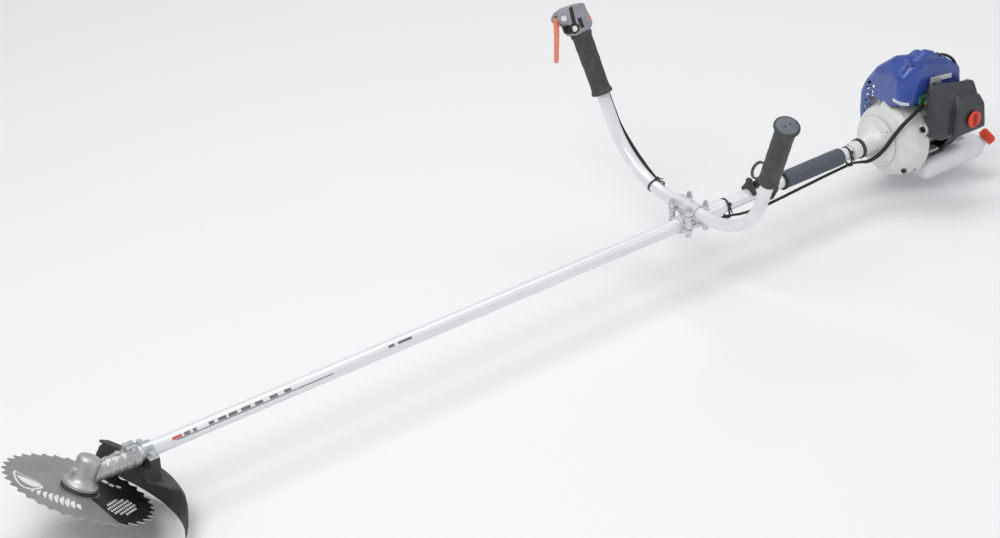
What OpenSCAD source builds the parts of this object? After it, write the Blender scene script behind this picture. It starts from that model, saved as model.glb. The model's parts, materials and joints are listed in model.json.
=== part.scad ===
// Petrol brush cutter with a toothed disc, straight drive tube, U-handle and rear engine.
// X runs along the drive tube towards the engine, Z is up, Y is the operator's right hand.
// Lengths are in millimetres. The origin is the centre of the harness ring.
// Parts are drawn from the crossing of the two gear axes, and place() moves them to the ring.

/* [Cutting head] */
// Diameter of the saw disc over its tooth tips
blade_d = 230; // [200:5:240]
// Number of teeth round the disc
blade_teeth = 36; // [24:2:40]
// Thickness of the saw disc
blade_t = 1.8; // [1.4:0.1:2.2]
// Bore of the saw disc
blade_bore = 25.4; // [20:0.1:25.4]
// Thickness of the guard moulding
guard_t = 3; // [2:0.5:4]

/* [Drive tube] */
// Wall thickness of the drive tube
tube_wall = 1.5; // [1:0.1:2]
// Number of bushes carrying the drive shaft inside the tube
bush_count = 6; // [4:1:8]
// Length of the foam hip pad
pad_len = 138; // [100:2:138]
// Outer diameter of the foam hip pad
pad_d = 32; // [28:1:34]

/* [Handle] */
// Outer diameter of the handle pipe
pipe_d = 22; // [20:0.5:22]
// Length of the left grip
left_grip_len = 135; // [110:5:135]
// Length of the right grip, below the throttle housing
right_grip_len = 112; // [90:2:112]
// Diameter of the grips
grip_d = 32; // [28:1:33]

/* [Engine] */
// Number of cooling fins on the cylinder
fin_count = 9; // [5:1:9]
// Number of blades on the fan side of the flywheel
fan_blades = 16; // [10:1:20]
// Height of the fuel tank
tank_h = 40; // [34:1:40]

/* [Hidden] */
$fn = 72;
ring_c = [1308, 0, 40.5];
head_tilt = 29;
tube_r = 12;
tube_bore_r = tube_r - tube_wall;
drive_shaft_r = 3.5;
pipe_r = pipe_d / 2;
grip_r = grip_d / 2;
// radial clearances: close, slip and running fits
gap = 0.03;
slip_gap = 0.05;
run_gap = 0.06;
// screw radii
m6_r = 3;
m5_r = 2.5;
m4_r = 2;

// ---------- helpers ----------
function polar(r, angle) = [r * cos(angle), r * sin(angle)];
module place() { translate(-ring_c) children(); }
// turn the Z axis of the children to +X, +Y or -Y, then move them
module plus_x(at) { translate(at) rotate([0, 90, 0]) children(); }
module plus_y(at) { translate(at) rotate([-90, 0, 0]) children(); }
module minus_y(at) { translate(at) rotate([90, 0, 0]) children(); }
// stand an extruded YZ outline at x, growing towards the engine
module yz_plane(x) { translate([x, 0, 0]) rotate([90, 0, 90]) children(); }
module rod_x(x0, x1, r) { plus_x([x0, 0, 0]) cylinder(h = x1 - x0, r = r); }
module tube_x(x0, x1, outer, inner) {
  difference() {
    rod_x(x0, x1, outer);
    rod_x(x0 - 1, x1 + 1, inner);
  }
}
// solid turned about the X axis; profile points are [radius, x]
module turn_x(profile) { rotate([0, 90, 0]) rotate_extrude() polygon(profile); }
module ring(h, outer, inner) {
  difference() {
    cylinder(h = h, r = outer);
    translate([0, 0, -1]) cylinder(h = h + 2, r = inner);
  }
}
module hex_rod(h, r) { cylinder(h = h, r = r, $fn = 6); }
module rounded_rect(size, r) {
  translate([r, r]) offset(r = r, $fn = 24) square(size - [2 * r, 2 * r]);
}
// hull of equal spheres at the given points
module ball_hull(points, r, fn) {
  hull() for (point = points) translate(point) sphere(r = r, $fn = fn);
}
// hull of spheres [x, y, z, radius], each shrunk by inset
module blob(balls, fn, inset = 0) {
  hull() for (ball = balls)
    translate([ball[0], ball[1], ball[2]]) sphere(r = ball[3] - inset, $fn = fn);
}
module rounded_box(low, high, r) {
  ball_hull([
    for (x = [low.x + r, high.x - r], y = [low.y + r, high.y - r], z = [low.z + r, high.z - r])
      [x, y, z]
  ], r, 24);
}

// ---------- cutting head ----------
blade_seat_z = -17.8;
blade_under_z = blade_seat_z - blade_t;
output_r = 6;
output_thread_r = 5;
output_top_r = 4;
output_bearing_r = 14;
top_bearing_r = 11;
// tilted frame of the output shaft, Z along its axis
module head() { rotate([0, head_tilt, 0]) children(); }

// one tooth: share of the tooth pitch, change from the tip radius
tooth_points = [[0, 0], [0.06, -1.6], [0.30, -7.5], [0.42, -7.9], [0.55, -7.2], [0.92, -1.2]];
module saw_blade() color([0.62, 0.64, 0.62]) place() head() {
  pitch = 360 / blade_teeth;
  translate([0, 0, blade_under_z]) difference() {
    linear_extrude(blade_t) polygon([
      for (i = [0 : blade_teeth - 1]) for (p = tooth_points)
        polar(blade_d / 2 + p[1], pitch * (i + p[0]))
    ]);
    translate([0, 0, -1]) cylinder(h = blade_t + 2, r = blade_bore / 2);
    for (i = [0 : 5]) rotate(i * 60 + 15) translate([38, 0, -1]) cylinder(h = blade_t + 2, r = 3);
  }
}
module blade_holder() color([0.08, 0.08, 0.08]) place() head() difference() {
  pilot_r = blade_bore / 2 - gap;
  rotate_extrude() polygon([
    [output_r + gap, -19.3], [pilot_r, -19.3], [pilot_r, blade_seat_z], [24, blade_seat_z],
    [28, blade_seat_z], [28, -15.3], [26.5, -14.5], [output_r + gap, -14.5]
  ]);
  translate([20, 0, -15.9]) cylinder(h = 3, r = 2.5);
}
module stabiliser_cup() color([0.45, 0.46, 0.48]) place() head()
  rotate_extrude() polygon([
    [output_r + gap, blade_under_z - 0.7], [13.2, blade_under_z - 0.7],
    [13.2, blade_under_z - 0.05], [25, blade_under_z - 0.05],
    [28, -21.8], [25.4, -30.5], [20, -35], [13, -35], [13, -33.2], [19, -33.2],
    [23.6, -29.6], [25.4, -23.6], [24, -22.6], [output_r + gap, -22.6]
  ]);
module blade_nut() color([0.75, 0.72, 0.55]) place() head() translate([0, 0, -31.3]) difference() {
  union() {
    hex_rod(8.4, 9.5);
    translate([0, 0, 6.9]) cylinder(h = 1.7, r = 11);
  }
  translate([0, 0, -1]) cylinder(h = 12, r = output_thread_r + gap);
}
module output_shaft() color([0.7, 0.71, 0.73]) place() head() {
  translate([0, 0, -22.6]) cylinder(h = 45.4, r = output_r);
  translate([0, 0, -34]) cylinder(h = 11.5, r = output_thread_r);
  translate([0, 0, 22.7]) cylinder(h = 7.2, r = output_top_r);
}

// bevel pair: tooth counts, shaft angle, cone angles, outer and inner cone distance
pinion_teeth = 14;
gear_teeth = 19;
shaft_angle = 90 - head_tilt;
pinion_cone = atan(sin(shaft_angle) / (gear_teeth / pinion_teeth + cos(shaft_angle)));
gear_cone = shaft_angle - pinion_cone;
cone_outer = 24;
cone_inner = 17;
pinion_shaft_r = 5;
// bevel tooth: share of the pitch, and 1 at the tip or 0 at the root
bevel_tooth = [[-0.5, 0], [-0.29, 0], [-0.09, 1], [0.09, 1], [0.29, 0]];
// one bevel gear with its apex at the origin and its axis along +Z
module bevel(teeth, cone, turn) {
  back_z = cone_outer * cos(cone);
  front_z = cone_inner * cos(cone);
  tip_r = back_z * tan(cone + 2.2);
  root_r = back_z * tan(cone - 3.4);
  translate([0, 0, back_z]) mirror([0, 0, 1])
    linear_extrude(height = back_z - front_z, scale = front_z / back_z)
      rotate(turn) polygon([
        for (i = [0 : teeth - 1]) for (p = bevel_tooth)
          polar(p[1] == 1 ? tip_r : root_r, 360 / teeth * (i + p[0]))
      ]);
}
module bevel_gear() color([0.5, 0.5, 0.52]) place() head() difference() {
  union() {
    bevel(gear_teeth, gear_cone, 180 / gear_teeth);
    translate([0, 0, cone_outer * cos(gear_cone) - 0.01]) cylinder(h = 2.7, r = 9);
  }
  translate([0, 0, 5]) cylinder(h = 30, r = output_r + gap);
}
module bevel_pinion() color([0.5, 0.5, 0.52]) place() rotate([0, 90, 0]) difference() {
  back_z = cone_outer * cos(pinion_cone);
  union() {
    bevel(pinion_teeth, pinion_cone, 180);
    translate([0, 0, back_z - 0.01]) cylinder(h = 2, r = 7);
    translate([0, 0, back_z]) cylinder(h = 34, r = pinion_shaft_r);
  }
  translate([0, 0, 39]) cylinder(h = 30, r = drive_shaft_r + gap);
}
module gear_bearings() color([0.75, 0.76, 0.78]) place() {
  head() {
    translate([0, 0, 23]) ring(7, top_bearing_r, output_top_r + slip_gap);
    translate([0, 0, -11.5]) ring(8, output_bearing_r, output_r + slip_gap);
  }
  for (x = [24.2, 31.6]) tube_x(x, x + 6.8, tube_r, pinion_shaft_r + slip_gap);
}

// gear case screws: plug on the head, cross screw over the split, locating screw
plug_screw_z = 10;
split_screw_x = 79;
split_screw_z = 18;
locating_x = 58;
// body of revolution round the output shaft: [radius, z], closed by a rounded crown
case_body = concat(
  [[0, -14], [25.5, -14], [27, -12.6], [27, -8.4], [25.6, -6], [21.5, -3.4], [19.6, 0],
   [18.6, 4], [18.2, 26]],
  [for (a = [0 : 10 : 90]) [11.2 + 6.8 * cos(a), 27.5 + 7 * sin(a)]],
  [[0, 34.6]]
);
module gear_case() color([0.72, 0.73, 0.73]) place() difference() {
  union() {
    head() rotate_extrude() polygon(case_body);
    rod_x(8, 90, 14.6);
    for (x = [38, 52, 66]) rod_x(x, x + 7, 15.6);
    rod_x(78, 90, 16.4);
    // rib between body and neck, and the clamp block over the split
    translate([12, -2.2, 10]) cube([26, 4.4, 8]);
    translate([70, -9, 10]) cube([18, 18, 12.5]);
    head() plus_x([-20.5, 0, plug_screw_z]) cylinder(h = 4, r = 5.5);
  }
  head() {
    translate([0, 0, -3.45]) cylinder(h = 26.4, r = 15.8);
    translate([0, 0, 22.9]) cylinder(h = 7.2, r = top_bearing_r + gap);
    translate([0, 0, -15]) cylinder(h = 11.6, r = output_bearing_r + gap);
    plus_x([-25, 0, plug_screw_z]) cylinder(h = 12, r = m6_r + gap);
  }
  rod_x(0, 23.9, 12.3);
  rod_x(23.85, 95, tube_r + gap);
  // clamp split and its screw hole
  translate([68, -0.8, 10]) cube([30, 1.6, 15]);
  plus_y([split_screw_x, -12, split_screw_z]) cylinder(h = 24, r = m4_r + gap);
  translate([locating_x, 0, 10]) cylinder(h = 12, r = m5_r + gap);
}

guard_bolt_x = 104;
guard_bolt_y = 20.5;
module at_guard_bolts(z) {
  for (y = [-guard_bolt_y, guard_bolt_y]) translate([guard_bolt_x, y, z]) children();
}
module head_bolts() color([0.6, 0.6, 0.58]) place() {
  head() plus_x([-23.2, 0, plug_screw_z]) {
    hex_rod(2.7, 5.2);
    cylinder(h = 9, r = m6_r);
  }
  plus_y([split_screw_x, -9.05, split_screw_z]) {
    cylinder(h = 18, r = m4_r);
    translate([0, 0, -3.2]) hex_rod(3.2, 3.8);
  }
  translate([locating_x, 0, 12.1]) {
    cylinder(h = 4, r = m5_r);
    translate([0, 0, 3.6]) cylinder(h = 2.4, r = 4.2);
  }
  at_guard_bolts(0) {
    translate([0, 0, -23.5]) cylinder(h = 27, r = m6_r);
    translate([0, 0, 2.1]) cylinder(h = 1.2, r = 4.7);
    translate([0, 0, 3.2]) hex_rod(4, 5);
  }
}

// ---------- guard ----------
guard_top_z = 18;
guard_under_z = guard_top_z - guard_t;
// rim section round the output shaft: [radius, z]
rim_section = [
  [124, guard_top_z], [145, 17], [153, 11], [158.5, 1], [166, -18], [171, -40],
  [171 - guard_t, -40], [166 - guard_t, -18.6], [158.5 - guard_t, -0.4], [150.5, 8.6],
  [143.8, 17 - guard_t], [124, guard_under_z]
];
// areas cut off the left and right ends of the rim: [y, z]
left_end_cut = [
  [-220, 60], [-40, 60], [-48, 20], [-66, 8], [-88, 0], [-101, -12], [-109, -21],
  [-109, -28], [-103, -34], [-92, -45], [-92, -70], [-220, -70]
];
right_end_cut = [
  [220, 60], [100, 60], [104, 18], [114, 12], [124, -4], [130, -22], [130, -70], [220, -70]
];
module guard_shell() color([0.2, 0.2, 0.21]) place() difference() {
  union() {
    head() difference() {
      rotate([0, 0, -42]) rotate_extrude(angle = 94, $fn = 144) polygon(rim_section);
      yz_plane(60) linear_extrude(150) polygon(left_end_cut);
      yz_plane(60) linear_extrude(150) polygon(right_end_cut);
    }
    // deck between the rim and the saddle
    head() rotate([0, 0, -24]) rotate_extrude(angle = 58, $fn = 96) polygon([
      [92, guard_under_z], [126, guard_under_z], [126, guard_top_z], [92, guard_top_z]
    ]);
    // wedge on the deck and block under the tube
    head() minus_y([0, 26, 0]) linear_extrude(52) polygon([
      [88, guard_under_z], [119, guard_under_z], [120.5, guard_top_z], [106, 30], [88, 30]
    ]);
    translate([95, -26, -34]) cube([18, 52, 33]);
  }
  rod_x(60, 180, tube_r + slip_gap);
  rod_x(40, 91, 16.9);
  at_guard_bolts(-24) cylinder(h = 30, r = m6_r + gap);
}
// half sleeve over the tube with two bolt flanges and stiffening ribs
module guard_bracket() color([0.78, 0.78, 0.7]) place() difference() {
  union() {
    rod_x(96, 112, 15);
    translate([96, -26, -0.95]) cube([16, 52, 3]);
    for (y = [-15.6, 12.6]) translate([96, y, 0]) cube([16, 3, 6]);
  }
  rod_x(90, 120, tube_r + slip_gap);
  translate([90, -30, -20.95]) cube([30, 60, 20]);
  at_guard_bolts(-5) cylinder(h = 30, r = m6_r + gap);
}

// ---------- drive tube ----------
module drive_tube() color([0.85, 0.86, 0.86]) place() tube_x(42, 1568, tube_r, tube_bore_r);
module drive_shaft() color([0.6, 0.61, 0.63]) place() rod_x(39.6, 1572, drive_shaft_r);
first_bush_x = 170;
bush_span = 1220;
module shaft_bushes() color([0.3, 0.3, 0.32]) place() for (i = [0 : bush_count - 1]) {
  x = first_bush_x + i * bush_span / (bush_count - 1);
  tube_x(x, x + 24, tube_bore_r - gap, drive_shaft_r + run_gap);
}
module tube_sleeve() color([0.88, 0.89, 0.89]) place() tube_x(1178, 1224, 13.6, tube_r + gap);
pad_x = 1366;
module hip_pad() color([0.25, 0.26, 0.29]) place() turn_x([
  [tube_r + gap, pad_x], [pad_d / 2 - 1, pad_x], [pad_d / 2, pad_x + 1.5],
  [pad_d / 2, pad_x + pad_len - 1.5], [pad_d / 2 - 1, pad_x + pad_len],
  [tube_r + gap, pad_x + pad_len]
]);

// ---------- handle ----------
handle_x = 1150;
handle_z = tube_r + 13;
handle_lean = -5.7;
// half length of the straight middle, bend radius and bend angle of each leg
bend_y = 50;
bend_r = 150;
leg_angle = 67;
leg_y = bend_y + bend_r * sin(leg_angle);
leg_z = bend_r * (1 - cos(leg_angle));
// distances up the legs
left_grip_start = 54;
house_start = 167;
module handle() { translate([handle_x, 0, handle_z]) rotate([0, handle_lean, 0]) children(); }
// frame along a leg from the end of its bend; side is 1 on the right, -1 on the left
module leg(side) {
  translate([0, side * leg_y, leg_z]) rotate([-side * (90 - leg_angle), 0, 0]) children();
}

// half spacings of the four clamp bolts
clamp_bolt_x = 19.2;
clamp_bolt_y = 21;
module at_clamp_bolts(z) {
  for (x = [-clamp_bolt_x, clamp_bolt_x], y = [-clamp_bolt_y, clamp_bolt_y])
    translate([handle_x + x, y, z]) children();
}
module clamp_holes(z0, z1) { at_clamp_bolts(z0) cylinder(h = z1 - z0, r = m6_r + gap); }
module clamp_trim(z, h = 40) { translate([handle_x - 40, -40, z]) cube([80, 80, h]); }
module clamp_tube_bore() { rod_x(handle_x - 30, handle_x + 30, tube_r + gap); }
module clamp_pipe_bore() { minus_y([handle_x, 40, handle_z]) cylinder(h = 80, r = pipe_r + gap); }
// cross bars through the bolts, on both ends of the clamp
module clamp_cross_bars(width, z, h) {
  for (x = [-clamp_bolt_x, clamp_bolt_x])
    translate([handle_x + x - width / 2, -clamp_bolt_y, z]) cube([width, 2 * clamp_bolt_y, h]);
}
// corner bosses joined by ribs along the tube
module clamp_web(z0, z1) {
  at_clamp_bolts(z0) cylinder(h = z1 - z0, r = 6.4);
  for (y = [-clamp_bolt_y, clamp_bolt_y])
    translate([handle_x - clamp_bolt_x, y - 4, z0]) cube([2 * clamp_bolt_x, 8, z1 - z0]);
}
module clamp_lower() color([0.75, 0.76, 0.75]) place() difference() {
  union() {
    at_clamp_bolts(-8) cylinder(h = 7.4, r = 6.4);
    clamp_cross_bars(8, -8, 7.4);
    rod_x(handle_x - 25, handle_x + 25, 15.5);
    for (x = [-16, 0, 16]) rod_x(handle_x + x - 1.5, handle_x + x + 1.5, 17.5);
  }
  clamp_tube_bore();
  clamp_trim(-0.6);
  clamp_holes(-20, 10);
}
module clamp_middle() color([0.78, 0.79, 0.78]) place() difference() {
  union() {
    clamp_web(18.5, 24.4);
    at_clamp_bolts(0.6) cylinder(h = 22, r = 5.4);
    clamp_cross_bars(6, 0.6, 6);
    minus_y([handle_x, 27.5, handle_z]) cylinder(h = 55, r = 14.5);
    rod_x(handle_x - 25, handle_x + 25, 15.5);
    translate([handle_x - 3, -24, 6]) cube([6, 48, 14]);
  }
  clamp_tube_bore();
  clamp_pipe_bore();
  clamp_holes(-20, 40);
  clamp_trim(24.4);
  clamp_trim(-39.4);
}
module clamp_cap() color([0.78, 0.79, 0.78]) place() difference() {
  union() {
    clamp_web(25.6, 31);
    minus_y([handle_x, 27.5, handle_z]) cylinder(h = 55, r = 14.2);
    for (y = [-26, 0, 26]) minus_y([handle_x, y + 1.5, handle_z]) cylinder(h = 3, r = 15.5);
  }
  clamp_trim(-10, 35.6);
  clamp_pipe_bore();
  clamp_holes(-20, 60);
}
module clamp_bolts() color([0.7, 0.7, 0.68]) place() at_clamp_bolts(0) {
  translate([0, 0, -15]) cylinder(h = 48, r = m6_r);
  translate([0, 0, -14]) hex_rod(5.9, 5.6);
  translate([0, 0, 31.1]) cylinder(h = 2, r = 4.7);
  translate([0, 0, 33]) hex_rod(4.4, 4.6);
  translate([0, 0, 37.3]) cylinder(h = 3, r = m6_r);
}
module handle_pipe() color([0.86, 0.87, 0.86]) place() handle() difference() {
  union() {
    minus_y([0, bend_y, 0]) cylinder(h = 2 * bend_y, r = pipe_r);
    for (m = [0, 1]) mirror([0, m, 0]) {
      // the bend overlaps the straights by 0.2 degrees at each end
      translate([0, bend_y, bend_r]) rotate([0, -90, 0]) rotate([0, 0, 179.8 - leg_angle])
        rotate_extrude(angle = leg_angle + 0.4, $fn = 96)
          translate([bend_r, 0]) circle(r = pipe_r - 0.25, $fn = 36);
      leg(1) cylinder(h = 186, r = pipe_r);
    }
  }
  for (m = [0, 1]) mirror([0, m, 0])
    leg(1) translate([0, 0, 40]) cylinder(h = 150, r = pipe_r - 1.6);
}
module left_grip() color([0.26, 0.27, 0.27]) place()
  handle() leg(-1) translate([0, 0, left_grip_start]) difference() {
    end = left_grip_len;
    rotate_extrude() polygon([
      [pipe_r + gap, 0], [grip_r - 0.5, 0], [grip_r, 1], [grip_r, end - 9],
      [grip_r + 2, end - 5], [21.5, end - 3.4], [21.5, end - 0.6], [20.8, end],
      [pipe_r + 3, end + 2], [0, end + 2], [0, end - 2], [pipe_r + gap, end - 2]
    ]);
    for (x = [-7, 7]) translate([x, 0, end - 1]) cylinder(h = 8, r = 1.8);
  }
module right_grip() color([0.26, 0.27, 0.27]) place()
  handle() leg(1) translate([0, 0, house_start - right_grip_len]) {
    end = right_grip_len;
    rotate_extrude() polygon([
      [pipe_r + gap, 0], [grip_r + 1, 0], [grip_r + 1.6, 3], [grip_r + 0.4, 6],
      [grip_r - 0.6, 12], [grip_r + 0.2, end - 20], [grip_r - 0.4, end - 8],
      [grip_r + 1.6, end - 5], [grip_r + 1.6, end - 1], [grip_r + 1, end - 0.1],
      [pipe_r + gap, end - 0.1]
    ]);
  }

// ---------- throttle housing ----------
// outline: distance forwards of the grip axis, height along it
house_outline = [
  [-13, 0], [-21, 8], [-22, 18], [-19, 32], [-18, 45], [-14, 47.5], [15, 50], [30, 47],
  [38, 41], [39.5, 34], [34, 27], [25, 22], [22, 8], [19, 0]
];
house_side = 13.5;
// axes across the housing, in its own frame
lever_axis = [-31, 0, 36];
button_axis = [-28.5, 0, 14.5];
low_screw = [-17.5, 0, 12.5];
high_screw = [8, 0, 38];
button_r = 5.02;
function at_y(axis, y) = axis + [0, y, 0];
module house() { handle() leg(1) translate([0, 0, house_start + 0.2]) children(); }
module house_half(y0, y1) {
  translate([0, y0, 0]) mirror([1, 0, 0]) rotate([90, 0, 0]) mirror([0, 0, 1])
    linear_extrude(y1 - y0) offset(r = 3, $fn = 24) offset(delta = -3) polygon(house_outline);
}
module house_cuts() {
  translate([0, 0, -5]) cylinder(h = 27, r = pipe_r + gap);
  // lever slot, open to the front and below
  translate(lever_axis + [-16, -5.2, -26]) cube([23, 10.4, 33]);
  minus_y(at_y(lever_axis, 10.05)) cylinder(h = 30, r = m6_r + gap);
  // stop button pocket in the inner face
  plus_y(at_y(button_axis, -30)) cylinder(h = 22.5, r = 5.1);
  minus_y(at_y(low_screw, 9)) cylinder(h = 40, r = m4_r + gap);
  minus_y(at_y(high_screw, 20)) cylinder(h = 30.1, r = m4_r + gap);
}
module throttle_housing_front() color([0.45, 0.46, 0.48]) place() house() difference() {
  union() {
    house_half(-house_side, -0.05);
    plus_y(at_y(button_axis, -house_side)) cylinder(h = 8.2, r = 7);
    translate(button_axis + [0, -house_side, -4]) cube([12, 8.2, 8]);
  }
  house_cuts();
}
module throttle_housing_rear() color([0.42, 0.43, 0.45]) place() house() difference() {
  house_half(0.05, house_side);
  house_cuts();
}
module housing_screws() color([0.9, 0.9, 0.9]) place() house() {
  // pivot screw of the lever
  minus_y(at_y(lever_axis, 10)) cylinder(h = 24, r = m6_r);
  minus_y(at_y(lever_axis, -13.6)) cylinder(h = 2.4, r = 5.2);
  // closing screws, one from each side
  minus_y(at_y(low_screw, 8.9)) cylinder(h = 23, r = m4_r);
  minus_y(at_y(low_screw, -13.6)) cylinder(h = 2.2, r = 5);
  minus_y(at_y(high_screw, 14)) cylinder(h = 24, r = m4_r);
  minus_y(at_y(high_screw, 15.6)) cylinder(h = 2, r = 4.2);
}
// lever outline from its pivot: [x, z]
lever_outline = [
  [-3, 4.8], [-8, 3.5], [-11, -2], [-13, -9], [-17.5, -21], [-23.5, -35], [-29.5, -49],
  [-34.5, -60.5], [-36, -64], [-35.5, -66], [-33, -66], [-31, -63.5], [-25.5, -51],
  [-18.5, -36.5], [-12.5, -23], [-8, -12], [-3, -5]
];
lever_w = 9.6;
module throttle_lever() color([0.93, 0.42, 0.3]) place() house() translate(lever_axis) difference() {
  union() {
    rotate([90, 0, 0]) cylinder(h = lever_w, r = 5.6, center = true);
    minus_y([0, lever_w / 2, 0]) linear_extrude(lever_w) polygon(lever_outline);
  }
  rotate([90, 0, 0]) cylinder(h = 20, r = m6_r + run_gap, center = true);
}
module stop_button() color([0.1, 0.1, 0.1]) place() house() plus_y(at_y(button_axis, -18.5)) {
  cylinder(h = 8, r = button_r);
  translate([0, 0, -0.8]) cylinder(h = 1, r = 2.6);
}

// ---------- cables ----------
// The cables run down the right leg, under the tube, and up beside the fan case.
// Sides on which the second cable lies, in each stretch:
leg_side = [1, 0.2, 0];
low_side = [0, -0.9, 0.45];
up_side = [-0.75, 0, 0.65];
// main cable: [point, side of the second cable]
route = [
  [[1150.8, 217.3, 161.2], leg_side],
  [[1154.5, 204.8, 130], leg_side],
  [[1157.5, 189, 100], leg_side],
  [[1161, 156, 66], leg_side],
  [[1164.5, 122, 39], leg_side],
  [[1166, 90, 22], leg_side],
  [[1176, 62, 3], leg_side + 0.3 * low_side],
  [[1188, 34, -11], leg_side + low_side],
  [[1203, 12, -18.5], 0.3 * leg_side + low_side],
  for (point = [
    [1216, -1, -19.5], [1230, -6, -18.2], [1243, -8, -20], [1262, -9, -23.5],
    [1300, -9, -27], [1340, -9, -26.5], [1390, -9, -23.5], [1450, -8.6, -20.5],
    [1505, -8, -18.6], [1518, -8, -17.6]
  ]) [point, low_side],
  [[1530, -8.5, -19.5], low_side + 0.15 * up_side],
  [[1545.5, -11, -22.6], low_side + 0.6 * up_side],
  for (point = [
    [1556, -18, -22.5], [1566.4, -27.8, -13], [1572, -34, -3.5], [1577, -39.5, 7],
    [1583.6, -44, 19.5], [1591, -51, 36], [1599, -58.5, 52], [1614, -63, 65],
    [1630, -63.8, 73.5], [1640, -63.8, 77.5]
  ]) [point, up_side]
];
cable_r = 2.2;
cable_pitch = 4.75;
function unit(v) = v / norm(v);
function heading(i) = unit(route[min(i + 1, len(route) - 1)][0] - route[max(i - 1, 0)][0]);
// the listed side, squared to the cable's heading
function beside(i) =
  let (side = route[i][1], ahead = heading(i)) unit(side - (side * ahead) * ahead);
// point i of cable 0 (main) or 1 (second)
function cable_point(cable, i) = route[i][0] + cable * cable_pitch * beside(i);
module throttle_cables() color([0.07, 0.07, 0.07]) place()
  for (cable = [0, 1], i = [0 : len(route) - 2])
    ball_hull([cable_point(cable, i), cable_point(cable, i + 1)], cable_r, 12);

// disc round a pipe and the cables beside it
module strap_form(h, r, cables, cable_wrap_r) {
  hull() {
    cylinder(h = h, r = r, center = true, $fn = 48);
    for (p = cables) translate(p) cylinder(h = h, r = cable_wrap_r, center = true, $fn = 32);
  }
}
// strap with its head and tail, turned round the pipe by turn
module strap(r, cables, turn) {
  difference() {
    union() {
      strap_form(3.6, r + 1.25, cables, cable_r + 1.9);
      rotate(turn) translate([r + 0.6, -3, -2.6]) cube([5, 6, 5.2]);
      rotate(turn) translate([r + 2, 2, -1]) cube([1.2, 14, 2]);
    }
    strap_form(8, r, cables, cable_r + 0.65);
  }
}
// angle round the right bend of the tie on the handle
bend_tie_angle = 16;
module cable_ties() color([0.05, 0.05, 0.05]) place() {
  yz_plane(1230) strap(tube_r + slip_gap, [[-6, -18.2], [-10.6, -16.4]], 150);
  yz_plane(1517) strap(tube_r + slip_gap, [[-8, -17.7], [-12.4, -15.8]], 150);
  handle()
    translate([0, bend_y + bend_r * sin(bend_tie_angle), bend_r * (1 - cos(bend_tie_angle))])
      rotate([bend_tie_angle - 90, 0, 0])
        strap(pipe_r + slip_gap, [[13.5, 8], [21.5, 8], [13.5, 13], [21.5, 13]], -60);
}

// ---------- harness hanger ----------
hanger_pin_z = 19.5;
hanger_pin_r = 2;
module hanger_bracket() place() {
  color([0.7, 0.7, 0.7]) translate([0, 0, hanger_pin_z]) {
    rod_x(1299, 1317, hanger_pin_r);
    rod_x(1297.6, 1299.2, 3.6);
  }
  color([0.09, 0.09, 0.09]) difference() {
    union() {
      // saddle with two legs astride the tube
      yz_plane(1283) linear_extrude(7) polygon([
        [-4.5, 32], [4.5, 32], [7, 22], [17, 9], [14.6, 4], [9, 9],
        [-9, 9], [-14.6, 4], [-17, 9], [-7, 22]
      ]);
      translate([1286, -6, 11]) cube([56, 12, 4]);
      // two lugs that carry the pin
      for (x = [1301, 1311.2]) {
        translate([x, -3.8, 12]) cube([3.8, 7.6, 7.5]);
        plus_x([x, 0, hanger_pin_z]) cylinder(h = 3.8, r = 3.8);
      }
      // strap round the tube with its tail below
      yz_plane(1332) linear_extrude(10) hull() {
        circle(r = 15, $fn = 64);
        translate([1.5, -24]) circle(r = 4.5, $fn = 32);
      }
    }
    rod_x(1270, 1350, tube_r + gap);
    translate([0, 0, hanger_pin_z]) rod_x(1299, 1317, hanger_pin_r + gap);
    yz_plane(1330) linear_extrude(14) hull() {
      translate([0.4, -18.4]) circle(r = 3, $fn = 24);
      translate([1.2, -22.6]) circle(r = 2, $fn = 24);
    }
  }
}
module harness_ring() color([0.12, 0.12, 0.12]) place() difference() {
  union() {
    minus_y(ring_c + [0, 1.8, 0]) cylinder(h = 3.6, r = 17);
    translate([1305.2, -1.8, hanger_pin_z]) cube([5.6, 3.6, 8]);
    translate([0, 0, hanger_pin_z]) rod_x(1305.2, 1310.8, 4);
  }
  minus_y(ring_c + [0, 10, 0]) cylinder(h = 20, r = 13);
  translate([0, 0, hanger_pin_z]) rod_x(1290, 1320, hanger_pin_r + run_gap);
}

// ---------- clutch end ----------
neck_r = 13.6;
// four holes through the joint of clutch housing and fan case
module clutch_screw_holes(x0, x1) {
  for (a = [45 : 90 : 315]) rotate([a, 0, 0]) translate([0, 42, 0]) rod_x(x0, x1, 1.6);
}
module clutch_housing() color([0.88, 0.89, 0.88]) place() difference() {
  union() {
    turn_x([
      [0, 1526], [15.4, 1526], [15.4, 1544.6], [neck_r, 1544.6], [neck_r, 1550.4],
      [17, 1550.4], [20, 1560], [25, 1571], [33, 1580], [41, 1585], [46, 1588],
      [46, 1594], [0, 1594]
    ]);
    for (x = [1530, 1536, 1542]) rod_x(x, x + 2.4, 16.4);
  }
  rod_x(1520, 1568.1, tube_r + gap);
  rod_x(1560, 1575, 9);
  rod_x(1574.9, 1584.1, 14);
  turn_x([[0, 1584], [34, 1584], [38, 1588], [38, 1595], [0, 1595]]);
  clutch_screw_holes(1585, 1600);
}
module vibration_ring() color([0.07, 0.07, 0.07]) place()
  tube_x(1544.8, 1550.2, 18.4, neck_r + gap);
module clutch_drum() color([0.55, 0.55, 0.57]) place() difference() {
  union() {
    rod_x(1570, 1592, 6);
    // bearing on the drum's stub
    tube_x(1575, 1584, 14 - gap, 6);
    rod_x(1586, 1590, 34);
    tube_x(1589.9, 1612, 34, 31.5);
  }
  rod_x(1560, 1585, drive_shaft_r + gap);
}
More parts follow.
